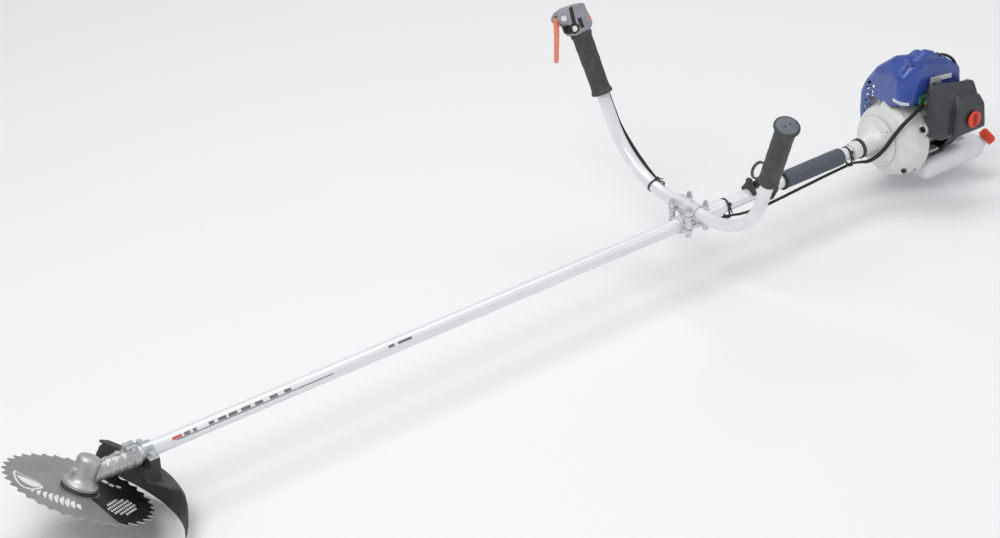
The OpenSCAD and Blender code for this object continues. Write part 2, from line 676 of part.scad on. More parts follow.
// two pins tie the clutch shoes to the flywheel
shoe_pin_r = 3.5;
module shoe_pin(x0, x1, r) { translate([0, 22, 10]) rod_x(x0, x1, r); }
module clutch_shoes() color([0.35, 0.33, 0.3]) place() for (turn = [0, 180]) rotate([turn, 0, 0]) {
  intersection() {
    tube_x(1596, 1609, 30.4, 15);
    translate([1590, -40, 2.5]) cube([30, 80, 40]);
  }
  shoe_pin(1608, 1617.9, shoe_pin_r);
}
crank_front_r = 6;
module flywheel_fan() color([0.66, 0.67, 0.68]) place() difference() {
  union() {
    rod_x(1618, 1626, 52);
    rod_x(1612.5, 1640, 12);
    for (i = [0 : fan_blades - 1])
      rotate([i * 360 / fan_blades, 0, 0]) translate([1625.9, 26, -1.2]) cube([11, 25, 2.4]);
  }
  rod_x(1600, 1650, crank_front_r + gap);
  for (turn = [0, 180]) rotate([turn, 0, 0]) shoe_pin(1612, 1619.5, shoe_pin_r + slip_gap);
}

// fan case outlines: [radius, x]; the case is slim all round and fuller on the left
case_front_x = 1594.3;
case_back_x = 1648;
case_slim = [
  [46, case_front_x], [51, 1596.5], [57, 1603], [60, 1610], [61.5, 1620], [62, 1630],
  [66, 1636], [74, 1638], [76, 1640]
];
case_full = [[46, case_front_x], [52, 1597], [62, 1604], [70, 1613], [74, 1623], [76, 1640]];
module case_turn(outline, grow) {
  turn_x(concat(
    [[0, case_front_x - grow]],
    [for (p = outline) [p[0] + grow, p[1] - grow]],
    [[76 + grow, case_back_x + grow], [0, case_back_x + grow]]
  ));
}
module case_form(grow) {
  case_turn(case_slim, grow);
  intersection() {
    case_turn(case_full, grow);
    translate([1585, -100, -100]) cube([70, 110 + grow, 200]);
  }
}
// ears that join fan case and crankcase: [y, z]
case_ears = [[-69, 34], [-52, -46], [69, 34], [52, -46]];
module at_case_ears(x) { for (ear = case_ears) plus_x([x, ear[0], ear[1]]) children(); }
module fan_case() color([0.9, 0.91, 0.9]) place() difference() {
  union() {
    case_form(0);
    at_case_ears(1636) cylinder(h = 12, r = 9);
    // shroud shoulder that leads the air up to the cylinder
    translate([1622, -30, 40]) cube([26, 60, 38]);
  }
  turn_x([
    [0, 1594], [38, 1594], [40, 1600], [52, 1606.5], [56, 1613], [57, 1617],
    [57, 1642], [0, 1642]
  ]);
  rod_x(1640, 1650, 30);
  at_case_ears(1630) {
    cylinder(h = 30, r = m5_r + gap);
    cylinder(h = 10, r = 5.6);
  }
  clutch_screw_holes(1590, 1599);
}

// ---------- engine ----------
cylinder_x = 1684;
crank_r = 8;
bore_r = 20;
inlet_z = 73;
exhaust_z = 72;
wrist_pin_z = 76;
module crankcase() color([0.82, 0.83, 0.82]) place() difference() {
  union() {
    rod_x(1648.3, 1656, 54);
    rod_x(1652, 1716, 40);
    translate([cylinder_x - 27, -27, 0]) cube([54, 54, 44]);
    at_case_ears(1648.3) cylinder(h = 8, r = 9);
    // arms from the ears towards the crank
    for (ear = case_ears) hull() for (reach = [1, 0.5])
      plus_x([1648.3, ear[0] * reach, ear[1] * reach]) cylinder(h = 6, r = 8, $fn = 24);
    translate([1664, -44, -41]) cube([44, 88, 6]);
  }
  rod_x(1662, 1706, 25);
  rod_x(1640, 1720, crank_r + run_gap);
  rod_x(1640, 1652, 13.5);
  translate([cylinder_x, 0, 10]) cylinder(h = 40, r = 22.5);
  at_case_ears(1640) cylinder(h = 14.2, r = m5_r + gap);
}
module crankshaft() color([0.6, 0.6, 0.62]) place() union() {
  rod_x(1610, 1676, crank_front_r);
  rod_x(1642, 1676, crank_r);
  rod_x(1692, 1722, crank_r);
  rod_x(1691, 1736, 5);
  // webs and crank pin
  for (x = [1672, 1690.2]) rod_x(x, x + 5.8, 22);
  translate([0, 0, 14]) rod_x(1677, 1691, 5);
  rod_x(1606, 1611.9, 9);
}

// the spark plug leans to the left
module plug_axis() { translate([cylinder_x + 6, 0, 110]) rotate([38, 0, 0]) children(); }
plug_thread_r = 5;
plug_tip_r = 4;
module cylinder_barrel() color([0.72, 0.73, 0.74]) place() difference() {
  translate([cylinder_x, 0, 0]) {
    translate([0, 0, 44.1]) cylinder(h = 80, r = 25);
    translate([-27, -27, 44.1]) cube([54, 54, 5]);
    for (i = [0 : fin_count - 1])
      translate([-35, -35, 60 + i * 7.7]) linear_extrude(2.4) rounded_rect([70, 70], 8);
    // inlet and exhaust flanges
    translate([-16, -40, 62]) cube([32, 16, 22]);
    translate([-18, 24, 58]) cube([36, 16.8, 28]);
    translate([0, 0, 28]) cylinder(h = 17, r = 22.4);
  }
  translate([cylinder_x, 0, 20]) cylinder(h = 96, r = bore_r);
  plus_y([cylinder_x, -45, inlet_z]) cylinder(h = 30, r = 8);
  plus_y([cylinder_x, 15, exhaust_z]) cylinder(h = 30, r = 10);
  plug_axis() {
    cylinder(h = 60, r = plug_thread_r + gap);
    translate([0, 0, 15.7]) cylinder(h = 40, r = 9.6);
  }
}
module piston_and_rod() color([0.8, 0.8, 0.82]) place() translate([cylinder_x, 0, 0]) {
  difference() {
    translate([0, 0, 62]) cylinder(h = 34, r = bore_r - run_gap);
    translate([0, 0, 60]) cylinder(h = 31, r = 16.5);
    plus_x([0, 0, wrist_pin_z]) cylinder(h = 50, r = 4 + gap, center = true);
  }
  plus_x([0, 0, wrist_pin_z]) cylinder(h = 36, r = 4, center = true);
  translate([-4, -4, 28]) cube([8, 8, 46]);
  plus_x([-4.5, 0, wrist_pin_z]) cylinder(h = 9, r = 8);
}
module spark_plug() color([0.8, 0.8, 0.78]) place() plug_axis() {
  cylinder(h = 16, r = plug_thread_r);
  translate([0, 0, 15.9]) hex_rod(7, 8.5);
  translate([0, 0, 22.8]) cylinder(h = 12, r = plug_tip_r);
}
// rubber cap over the plug, with its lead boss pointing backwards
module plug_cap() color([0.12, 0.12, 0.12]) place() plug_axis() difference() {
  union() {
    translate([0, 0, 23.2]) cylinder(h = 19, r = 8.6);
    translate([0, 0, 42.1]) cylinder(h = 3, r1 = 8.6, r2 = 6);
    plus_x([0, 0, 36]) cylinder(h = 24, r = 5.5);
  }
  translate([0, 0, 22]) cylinder(h = 13, r = plug_tip_r + gap);
}
module muffler() color([0.4, 0.38, 0.36]) place() difference() {
  union() {
    hull() for (x = [1669, 1709], y = [47, 74]) translate([x, y, 22]) {
      cylinder(h = 64, r = 6, $fn = 32);
      translate([0, 0, -2]) cylinder(h = 68, r = 4, $fn = 32);
    }
    plus_x([1711, 66, 40]) cylinder(h = 15, r = 6.5);
  }
  translate([1667, 43.5, 24]) cube([44, 34, 60]);
  plus_y([cylinder_x, 30, exhaust_z]) cylinder(h = 20, r = 10);
  plus_x([1700, 66, 40]) cylinder(h = 30, r = 5);
}

// spheres that shape the engine cover and its two crown ridges: [x, y, z, radius]
cover_balls = [
  [1620, -38, 90, 20], [1624, -30, 124, 20], [1646, -40, 150, 16], [1640, 0, 134, 18],
  [1640, 36, 104, 18], [1640, 62, 76, 14], [1638, 72, 56, 12], [1638, 73, 20, 12],
  [1640, 77, -10, 8], [1700, -42, 134, 14], [1731, -46, 114, 10], [1733, -50, 84, 8],
  [1706, 30, 112, 12], [1706, 66, 76, 12], [1706, 74, 20, 10]
];
left_ridge = [[1634, -44, 158, 8], [1656, -44, 166, 9], [1692, -43, 150, 8]];
right_ridge = [[1634, -20, 150, 7], [1660, -20, 157, 8], [1692, -20, 143, 7]];
cover_wall = 2.6;
// area cut away below the cover: [x, z]
cover_under_cut = [
  [1580, -60], [1770, -60], [1770, 70], [1640, 72], [1612, 65], [1600, 63], [1580, 63]
];
module engine_cover() color([0.24, 0.36, 0.7]) place() difference() {
  union() {
    blob(cover_balls, 32);
    blob(left_ridge, 24);
    blob(right_ridge, 24);
  }
  // hollow, open below
  blob(cover_balls, 32, cover_wall);
  hull() for (z = [-6, -150]) translate([0, 0, z]) blob(cover_balls, 32, cover_wall);
  minus_y([0, 45, 0]) linear_extrude(135) polygon(cover_under_cut);
  translate([1662, -90, -60]) cube([160, 190, 62]);
  translate([1590, -90, -60]) cube([160, 190, 34]);
  // fan case and its shoulder
  case_form(2.4);
  translate([1619, -32, 38]) cube([32, 64, 42]);
  // opening for the plug cap
  plug_axis() {
    cylinder(h = 80, r = 13);
    translate([0, -8, 28]) cube([30, 16, 60]);
  }
  // air holes down the front right corner: a row of eight and a row of four
  for (row = [0, 1], k = [0 : (row == 0 ? 7 : 3)])
    translate([1627, 58 - 8 * row + 7 * sin(22 * k), 84 - 6 * row - 12.3 * k])
      rotate([0, 120.6, 54.6]) translate([0, 0, -16]) cylinder(h = 64, r = 2.4, $fn = 20);
  // window round the muffler
  translate([1659, 38, -2]) cube([62, 70, 96]);
  // clearance round the fins, the carburettor, the right ears, the starter and its handle
  rounded_box([1645, -39, 28], [1723, 39, 128.5], 3);
  translate([1642, -75, 66]) cube([60, 37.5, 36]);
  for (ear = [case_ears[2], case_ears[3]]) plus_x([1633, ear[0], ear[1]]) cylinder(h = 27, r = 11);
  rod_x(1714.5, 1780, 60);
  translate([1723, -34, 30]) cube([60, 120, 180]);
}

// ---------- carburettor ----------
drum_r = 6;
primer_x = cylinder_x - 6;
primer_y = -51.5;
primer_r = 6;
module carburettor() color([0.7, 0.7, 0.68]) place() difference() {
  union() {
    translate([cylinder_x - 15, -62, 56]) cube([30, 21.9, 34]);
    translate([cylinder_x, -50, 90]) cylinder(h = 6, r = 10);
    // stop block with the cable adjuster
    translate([1650, -61.5, 78]) cube([20, 11.5, 13]);
    translate([1651, -61, 82]) rotate([110, 0, -72]) cylinder(h = 9, r = 2.4);
  }
  plus_y([cylinder_x, -70, inlet_z]) cylinder(h = 40, r = 8);
  translate([cylinder_x, -50, 80]) cylinder(h = 30, r = drum_r);
  translate([primer_x, primer_y, 48]) cylinder(h = 14, r = primer_r);
}
module throttle_drum() color([0.75, 0.7, 0.45]) place() translate([cylinder_x, -50, 0]) {
  translate([0, 0, 80.2]) cylinder(h = 18, r = drum_r - run_gap);
  translate([0, 0, 96.3]) cylinder(h = 2.4, r = 9);
  translate([-3, -11.4, 96.3]) cube([6, 8, 2.4]);
}
module primer_bulb() color([0.75, 0.8, 0.75, 0.6]) place() translate([primer_x, primer_y, 50.5]) {
  rotate([180, 0, 0]) difference() {
    sphere(r = 8.5, $fn = 32);
    translate([0, 0, -20]) cube(40, center = true);
  }
  cylinder(h = 5, r = primer_r - 0.1);
}

// ---------- air cleaner ----------
cleaner_screw_x = 1709;
cleaner_screw_z = 50;
cleaner_screw_r = 4;
choke_x = 1722;
choke_z = 40;
choke_pin_r = 3;
module air_cleaner_base() color([0.2, 0.2, 0.21]) place() difference() {
  union() {
    minus_y([1662, -62.2, 14]) linear_extrude(5) rounded_rect([92, 82], 8);
    translate([1652, -67.2, 76]) cube([26, 5, 46]);
  }
  plus_y([cylinder_x, -75, inlet_z]) cylinder(h = 20, r = 8);
  // five-sided opening in the upright plate
  translate([1655, -80, 99]) mirror([0, 1, 0]) rotate([90, 0, 0])
    linear_extrude(30) polygon([[0, 0], [9, 0], [12, 8], [7, 18], [0, 14]]);
  minus_y([choke_x, -55, choke_z]) cylinder(h = 20, r = choke_pin_r);
  // room for the choke tab to swing
  translate([1680, -70, 10]) cube([70, 10, 7.2]);
  minus_y([cleaner_screw_x, -55, cleaner_screw_z])
    cylinder(h = 20, r = cleaner_screw_r + run_gap);
}
// sphere centres of the shell, its raised panel and its hollow: [x, y, z]
shell_points = [
  [1646, -76, 26], [1646, -76, 112], [1742, -76, 26], [1742, -76, 92],
  [1650, -98, 28], [1652, -94, 94], [1736, -100, 28], [1736, -96, 68]
];
panel_points = [
  [1674, -111, 29], [1680, -108, 78], [1690, -100, 88],
  [1737, -112, 29], [1737, -108, 66], [1737, -98, 76]
];
hollow_points = [
  [1646, -64, 26], [1646, -64, 112], [1742, -64, 26], [1742, -64, 92],
  [1650, -96, 28], [1652, -92, 94], [1736, -98, 28], [1736, -94, 68]
];
module air_cleaner_cover() color([0.27, 0.28, 0.3]) place() difference() {
  union() {
    ball_hull(shell_points, 8, 28);
    ball_hull(panel_points, 7, 28);
  }
  ball_hull(hollow_points, 5.4, 28);
  translate([1600, -67.4, -20]) cube([200, 60, 200]);
  // clearance round the fan case and its upper left ear
  rod_x(1600, 1659, 79);
  plus_x([1620, -69, 34]) cylinder(h = 39, r = 11);
  minus_y([cleaner_screw_x, -90, cleaner_screw_z])
    cylinder(h = 40, r = cleaner_screw_r + run_gap);
}
module air_filter() color([0.75, 0.72, 0.6]) place() difference() {
  translate([1664, -86, 34]) cube([64, 18.6, 46]);
  plus_y([cylinder_x, -88, inlet_z]) cylinder(h = 40, r = 10);
  minus_y([cleaner_screw_x, -60, cleaner_screw_z]) cylinder(h = 40, r = 5);
}
// clamping knob with its finger bar and screw
module cleaner_knob() color([0.93, 0.28, 0.16]) place()
  minus_y([cleaner_screw_x, -119.3, cleaner_screw_z]) {
    cylinder(h = 4, r = 15);
    translate([-3, -12, 3.9]) cube([6, 24, 4]);
    translate([0, 0, -56]) cylinder(h = 56.1, r = cleaner_screw_r);
  }
module choke_lever() color([0.1, 0.1, 0.1]) place() translate([choke_x, -60.5, choke_z]) {
  rotate([90, 0, 0]) cylinder(h = 1.4, r = 5);
  rotate([90, 0, 0]) cylinder(h = 6, r = choke_pin_r - run_gap);
  translate([-4, -1.4, -38]) cube([8, 1.4, 38]);
  translate([-9, -14, -38]) cube([18, 13, 4]);
}

// ---------- fuel tank ----------
tank_base_z = -84;
filler_r = 10;
module filler() { translate([1804.6, -49.4, -61.9]) rotate([17.5, 47, 0]) children(); }
module fuel_tank() color([0.92, 0.94, 0.95, 0.75]) place() difference() {
  union() {
    rounded_box([1660, -62, tank_base_z], [1814, 62, tank_base_z + tank_h], 12);
    filler() cylinder(h = 25, r = filler_r);
  }
  // room for the crankcase and the starter
  rod_x(1640, 1717, 47);
  rod_x(1715.4, 1782, 60);
  translate([1640, -46, -60]) cube([80, 92, 40]);
  rounded_box([1663, -59, -81], [1811, 59, -67], 6);
  filler() translate([0, 0, -14]) cylinder(h = 60, r = 7.5);
}
module fuel_cap() color([0.93, 0.3, 0.16]) place() filler() difference() {
  union() {
    translate([0, 0, 15]) cylinder(h = 15, r = 14);
    for (i = [0 : 17]) rotate(i * 20) translate([13.6, -1, 15.5]) cube([1.4, 2, 13]);
    translate([0, 0, 29.9]) cylinder(h = 2, r = 12);
  }
  translate([0, 0, 14]) cylinder(h = 11.5, r = filler_r + run_gap);
}

// ---------- recoil starter ----------
rope_x = 1734;
rope_y = -12;
starter_post_r = 9;
module recoil_starter() color([0.16, 0.16, 0.17]) place() difference() {
  union() {
    turn_x([[0, 1716.4], [58, 1716.4], [58, 1744], [52, 1756], [30, 1762], [0, 1762]]);
    translate([1726, -24, 40]) cube([16, 24, 24]);
  }
  // hollow round a central post
  turn_x([
    [0, 1716], [54, 1716], [54, 1742], [49, 1753], [starter_post_r, 1753],
    [starter_post_r, 1738], [0, 1738]
  ]);
  translate([rope_x, rope_y, 30]) cylinder(h = 50, r = 2.4);
  for (i = [0 : 5]) rotate([i * 60, 0, 0]) plus_x([1750, 34, 0]) cylinder(h = 20, r = 5);
}
module starter_pulley() color([0.85, 0.85, 0.8]) place() difference() {
  pulley_bore_r = starter_post_r + run_gap;
  turn_x([
    [pulley_bore_r, 1738.5], [30, 1738.5], [30, 1739.8], [26, 1739.8], [26, 1742.2],
    [30, 1742.2], [30, 1743.5], [12, 1743.5], [12, 1746], [pulley_bore_r, 1746]
  ]);
  for (i = [0 : 2]) rotate([i * 120, 0, 0]) plus_x([1730, 18, 0]) cylinder(h = 20, r = 4);
}
module starter_handle() color([0.1, 0.1, 0.1]) place() translate([rope_x, rope_y, 64.4]) {
  translate([-8, -19, 0]) linear_extrude(12) rounded_rect([16, 38], 6);
  translate([0, 0, -24]) cylinder(h = 24.1, r = 1.8);
}

saw_blade();
blade_holder();
stabiliser_cup();
blade_nut();
output_shaft();
bevel_gear();
bevel_pinion();
gear_bearings();
gear_case();
head_bolts();
guard_shell();
guard_bracket();
drive_tube();
drive_shaft();
shaft_bushes();
clamp_lower();
clamp_middle();
clamp_cap();
clamp_bolts();
handle_pipe();
left_grip();
right_grip();
throttle_housing_front();
throttle_housing_rear();
housing_screws();
throttle_lever();
stop_button();
throttle_cables();
cable_ties();
tube_sleeve();
hanger_bracket();
harness_ring();
hip_pad();
clutch_housing();
vibration_ring();
clutch_drum();
clutch_shoes();
flywheel_fan();
fan_case();
crankcase();
crankshaft();
cylinder_barrel();
piston_and_rod();
spark_plug();
plug_cap();
muffler();
engine_cover();
carburettor();
throttle_drum();
primer_bulb();
air_cleaner_base();
air_filter();
air_cleaner_cover();
cleaner_knob();
choke_lever();
fuel_tank();
fuel_cap();
recoil_starter();
starter_pulley();
starter_handle();
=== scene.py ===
# A brush cutter. Design coordinates are millimetres: the tube runs along x with its axis at
# y = z = 0, the saw blade is at the low-x end and the engine at the high-x end, z is up, and
# the operator's left is -y. Meshes are built in metres about ROW_CENTRE.
import bpy, bmesh, math, json
from mathutils import Vector, Matrix, noise
from mathutils.bvhtree import BVHTree


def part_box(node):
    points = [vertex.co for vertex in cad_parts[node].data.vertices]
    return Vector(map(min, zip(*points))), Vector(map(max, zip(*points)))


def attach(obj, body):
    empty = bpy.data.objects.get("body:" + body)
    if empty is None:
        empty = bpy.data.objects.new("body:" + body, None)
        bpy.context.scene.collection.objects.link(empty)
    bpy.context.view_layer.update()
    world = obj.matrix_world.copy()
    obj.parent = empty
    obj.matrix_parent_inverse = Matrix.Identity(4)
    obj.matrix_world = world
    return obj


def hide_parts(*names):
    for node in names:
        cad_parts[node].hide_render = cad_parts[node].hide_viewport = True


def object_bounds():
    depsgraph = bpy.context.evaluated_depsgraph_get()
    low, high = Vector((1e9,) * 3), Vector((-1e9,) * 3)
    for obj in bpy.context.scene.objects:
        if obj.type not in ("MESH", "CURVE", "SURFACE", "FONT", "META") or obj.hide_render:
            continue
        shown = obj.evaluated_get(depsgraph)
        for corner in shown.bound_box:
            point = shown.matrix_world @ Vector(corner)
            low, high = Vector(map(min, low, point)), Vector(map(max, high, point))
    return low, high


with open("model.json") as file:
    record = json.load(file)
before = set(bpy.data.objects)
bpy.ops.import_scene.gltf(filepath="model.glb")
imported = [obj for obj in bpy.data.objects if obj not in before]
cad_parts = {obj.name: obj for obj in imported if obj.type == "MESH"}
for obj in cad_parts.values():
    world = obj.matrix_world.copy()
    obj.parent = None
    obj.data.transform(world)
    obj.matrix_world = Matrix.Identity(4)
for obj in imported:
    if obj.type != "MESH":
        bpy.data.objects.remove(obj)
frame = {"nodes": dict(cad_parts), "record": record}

cad_bounds = [list(corner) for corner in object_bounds()]
NODES = frame["nodes"]
BODY_OF = {node: body for body, nodes in frame["record"]["behaviour"]["bodies"].items()
           for node in nodes}
scene = bpy.context.scene


# ------------------------------------------------------------------ frames
def shift(x, y, z):
    return Matrix.Translation((x, y, z))


def turn(axis, degrees):
    return Matrix.Rotation(math.radians(degrees), 4, axis)


MM = 0.001
ROW_CENTRE = Vector((1308, 0, 40.5))
HEAD = turn("Y", 29)  # gear head and blade, tilted on the tube
ALONG_X = turn("Y", 90)  # local z laid along the tube

# handle pipe: a straight middle, then a bend up to each leg
HALF_STRAIGHT = 50
BEND_RADIUS = 150
BEND_ANGLE = 67
HANDLE = shift(1150, 0, 25) @ turn("Y", -5.7)
LEG_Y = HALF_STRAIGHT + BEND_RADIUS * math.sin(math.radians(BEND_ANGLE))
LEG_Z = BEND_RADIUS * (1 - math.cos(math.radians(BEND_ANGLE)))
RIGHT_LEG = HANDLE @ shift(0, LEG_Y, LEG_Z) @ turn("X", BEND_ANGLE - 90)
LEFT_LEG = HANDLE @ shift(0, -LEG_Y, LEG_Z) @ turn("X", 90 - BEND_ANGLE)


def place(x, y, z):
    """Design millimetres to scene metres."""
    return (Vector((x, y, z)) - ROW_CENTRE) * MM


def place_on_head(x, y, z):
    """Gear-head millimetres to scene metres."""
    return place(*(HEAD @ Vector((x, y, z))))


def to_design(point):
    """Scene metres to design millimetres."""
    return point / MM + ROW_CENTRE


# ------------------------------------------------------------------ materials
FINISH = ("color", "rough", "metal", "mottle", "mottle_scale", "bump", "bump_scale")
# material: the FINISH values in order
MATERIALS = {
    "blade_steel": ((0.42, 0.43, 0.42), 0.42, 0.75, 0.05, 25, 0.05, 900),
    "black_steel": ((0.012, 0.012, 0.013), 0.38, 0.0, 0.2, 80, 0.08, 600),
    "zinc_steel": ((0.64, 0.67, 0.67), 0.36, 0.6, 0.1, 140, 0.12, 700),
    "machined_steel": ((0.5, 0.51, 0.53), 0.3, 1.0, 0.06, 80, 0.05, 900),
    "cast_aluminium": ((0.55, 0.56, 0.56), 0.45, 0.7, 0.06, 90, 0.25, 1100),
    "cast_light": ((0.74, 0.75, 0.76), 0.43, 0.25, 0.06, 90, 0.25, 1100),
    "tube_aluminium": ((0.85, 0.86, 0.87), 0.34, 0.2, 0.03, 30, 0.03, 900),
    "white_casting": ((0.76, 0.77, 0.73), 0.42, 0.1, 0.03, 60, 0.12, 900),
    "guard_plastic": ((0.035, 0.036, 0.038), 0.5, 0.0, 0.18, 50, 0.18, 1400),
    "grip_rubber": ((0.055, 0.057, 0.055), 0.62, 0.0, 0.12, 90, 0.25, 1300),
    "foam": ((0.09, 0.102, 0.122), 0.78, 0.0, 0.05, 120, 0.35, 1500),
    "housing_plastic": ((0.32, 0.33, 0.36), 0.42, 0.1, 0.08, 60, 0.15, 1300),
    "cap_white": ((0.8, 0.8, 0.8), 0.35, 0.0, 0.03, 60, 0.05, 800),
    "lever_orange": ((0.86, 0.25, 0.15), 0.42, 0.0, 0.06, 60, 0.08, 900),
    "black_plastic": ((0.012, 0.012, 0.012), 0.4, 0.0, 0.2, 90, 0.1, 1200),
    "cover_blue": ((0.03, 0.075, 0.36), 0.3, 0.0, 0.08, 30, 0.06, 1200),
    "cleaner_grey": ((0.045, 0.049, 0.056), 0.42, 0.0, 0.1, 50, 0.18, 1300),
    "cap_orange": ((0.85, 0.07, 0.02), 0.35, 0.0, 0.05, 60, 0.06, 900),
    "tank_plastic": ((0.87, 0.88, 0.93), 0.38, 0.0, 0.03, 30, 0.08, 700),
    "muffler_steel": ((0.2, 0.17, 0.15), 0.4, 0.9, 0.25, 40, 0.1, 600),
    "brass": ((0.75, 0.55, 0.22), 0.3, 1.0, 0.08, 90, 0.06, 800),
    "friction": ((0.06, 0.05, 0.04), 0.8, 0.0, 0.2, 200, 0.4, 900),
    "print_black": ((0.006, 0.006, 0.006), 0.34, 0.0, 0.2, 60, 0.05, 900),
    "print_white": ((0.82, 0.83, 0.83), 0.4, 0.0, 0.03, 60, 0.04, 900),
    "cable_sheath": ((0.006, 0.006, 0.007), 0.33, 0.0, 0.2, 120, 0.12, 1500),
    "cleaner_bracket": ((0.3, 0.31, 0.33), 0.42, 0.1, 0.08, 60, 0.15, 1200),
    "knob_bar": ((0.42, 0.03, 0.012), 0.4, 0.0, 0.08, 60, 0.06, 900),
    "green_clip": ((0.02, 0.2, 0.08), 0.4, 0.0, 0.08, 80, 0.08, 1200),
    "grip_end_cap": ((0.13, 0.15, 0.175), 0.5, 0.0, 0.08, 90, 0.15, 1300),
    "print_grey": ((0.16, 0.17, 0.2), 0.4, 0.0, 0.1, 90, 0.04, 900),
    "print_red": ((0.62, 0.13, 0.12), 0.4, 0.0, 0.08, 90, 0.04, 900),
    "filter_foam": ((0.45, 0.4, 0.25), 0.9, 0.0, 0.2, 200, 0.6, 900),
}
# Some entries below set how strongly ambient occlusion darkens the colour in hollows: painted
# shade.
EXTRAS = {
    "blade_steel": dict(rough_spread=0.1),
    "black_steel": dict(wear_color=(0.25, 0.25, 0.25), wear=0.4),
    "tube_aluminium": dict(painted_hollow_shade=0.1, stretch=(0.15, 1, 1)),
    "white_casting": dict(painted_hollow_shade=0.2),
    "guard_plastic": dict(painted_hollow_shade=0.5),
    "grip_rubber": dict(painted_hollow_shade=0.3),
    "foam": dict(sheen=0.2),
    "lever_orange": dict(subsurface=0.1),
    "cover_blue": dict(coat=0.35, painted_hollow_shade=0.5),
    "cleaner_grey": dict(painted_hollow_shade=0.4),
    "cap_orange": dict(subsurface=0.1),
    "tank_plastic": dict(subsurface=0.4, painted_hollow_shade=0.1),
    "grip_end_cap": dict(painted_hollow_shade=0.2),
}
MIX_FACTOR, MIX_A, MIX_B, MIX_RESULT = 0, 6, 7, 2  # colour sockets of the Mix node


def make_material(name, color, rough, metal, mottle, mottle_scale, bump, bump_scale,
                  rough_spread=0.12, painted_hollow_shade=0.25, wear_color=None, wear=0.0,
                  stretch=(1, 1, 1), coat=0.0, subsurface=0.0, sheen=0.0):
    """Mottled colour darkened by ambient occlusion in the hollows (painted shade), optional worn
    edges, uneven gloss and bump.
    """
    material = bpy.data.materials.new(name)
    material.use_nodes = True
    material["out_color"] = 1
    nodes = material.node_tree.nodes
    link = material.node_tree.links.new
    surface = nodes["Principled BSDF"]

    def add(kind, values=None, **settings):
        node = nodes.new(kind)
        for key, value in settings.items():
            setattr(node, key, value)
        for key, value in (values or {}).items():
            node.inputs[key].default_value = value
        return node

    def add_noise(scale, detail):
        node = add("ShaderNodeTexNoise", {"Scale": scale, "Detail": detail})
        link(mapping.outputs[0], node.inputs["Vector"])
        return node.outputs["Fac"]

    coords = add("ShaderNodeTexCoord")
    mapping = add("ShaderNodeMapping", {"Scale": stretch})
    link(coords.outputs["Object"], mapping.inputs["Vector"])
    mottling = add_noise(mottle_scale, 6)
    relief = add_noise(bump_scale, 4)

    ramp = add("ShaderNodeValToRGB")
    base = Vector(color)
    dark, light = ramp.color_ramp.elements
    dark.position = 0.3
    dark.color = (*(base * (1 - mottle * 2)), 1)
    light.position = 0.7
    light.color = (*[min(1, c * (1 + mottle) + mottle * 0.04) for c in base], 1)
    link(mottling, ramp.inputs[0])

    # painted shade: ambient occlusion darkens the colour in hollows and between parts
    hollows = add("ShaderNodeAmbientOcclusion", {"Distance": 0.012}, samples=4)
    shaded = add("ShaderNodeMix", {MIX_FACTOR: painted_hollow_shade}, data_type="RGBA", blend_type="MULTIPLY")
    link(ramp.outputs[0], shaded.inputs[MIX_A])
    link(hollows.outputs["Color"], shaded.inputs[MIX_B])
    result = shaded.outputs[MIX_RESULT]

    if wear_color:
        geometry = add("ShaderNodeNewGeometry")
        edges = add("ShaderNodeMapRange", {"From Min": 0.53, "From Max": 0.62})
        link(geometry.outputs["Pointiness"], edges.inputs["Value"])
        broken = add("ShaderNodeMath", operation="MULTIPLY")
        link(edges.outputs[0], broken.inputs[0])
        link(mottling, broken.inputs[1])
        amount = add("ShaderNodeMath", {1: wear}, operation="MULTIPLY")
        link(broken.outputs[0], amount.inputs[0])
        worn = add("ShaderNodeMix", {MIX_B: (*wear_color, 1)}, data_type="RGBA")
        link(amount.outputs[0], worn.inputs[MIX_FACTOR])
        link(result, worn.inputs[MIX_A])
        result = worn.outputs[MIX_RESULT]
    link(result, surface.inputs["Base Color"])

    gloss = add("ShaderNodeMapRange", {"To Min": max(0.02, rough - rough_spread),
                                       "To Max": min(1, rough + rough_spread)})
    link(add_noise(mottle_scale * 2.3, 3), gloss.inputs["Value"])
    link(gloss.outputs[0], surface.inputs["Roughness"])
    values = {"Metallic": metal, "Coat Weight": coat, "Coat Roughness": 0.2}
    if subsurface:
        values.update({"Subsurface Weight": subsurface, "Subsurface Scale": 0.6,
                       "Subsurface Radius": (0.02, 0.02, 0.02)})
    if sheen:
        values.update({"Sheen Weight": sheen, "Sheen Roughness": 0.4})
    for key, value in values.items():
        surface.inputs[key].default_value = value

    bumps = add("ShaderNodeBump", {"Strength": bump, "Distance": 0.0006})
    link(relief, bumps.inputs["Height"])
    link(bumps.outputs[0], surface.inputs["Normal"])
    return material


MAT = {name: make_material(name, **dict(zip(FINISH, row)), **EXTRAS.get(name, {}))
       for name, row in MATERIALS.items()}

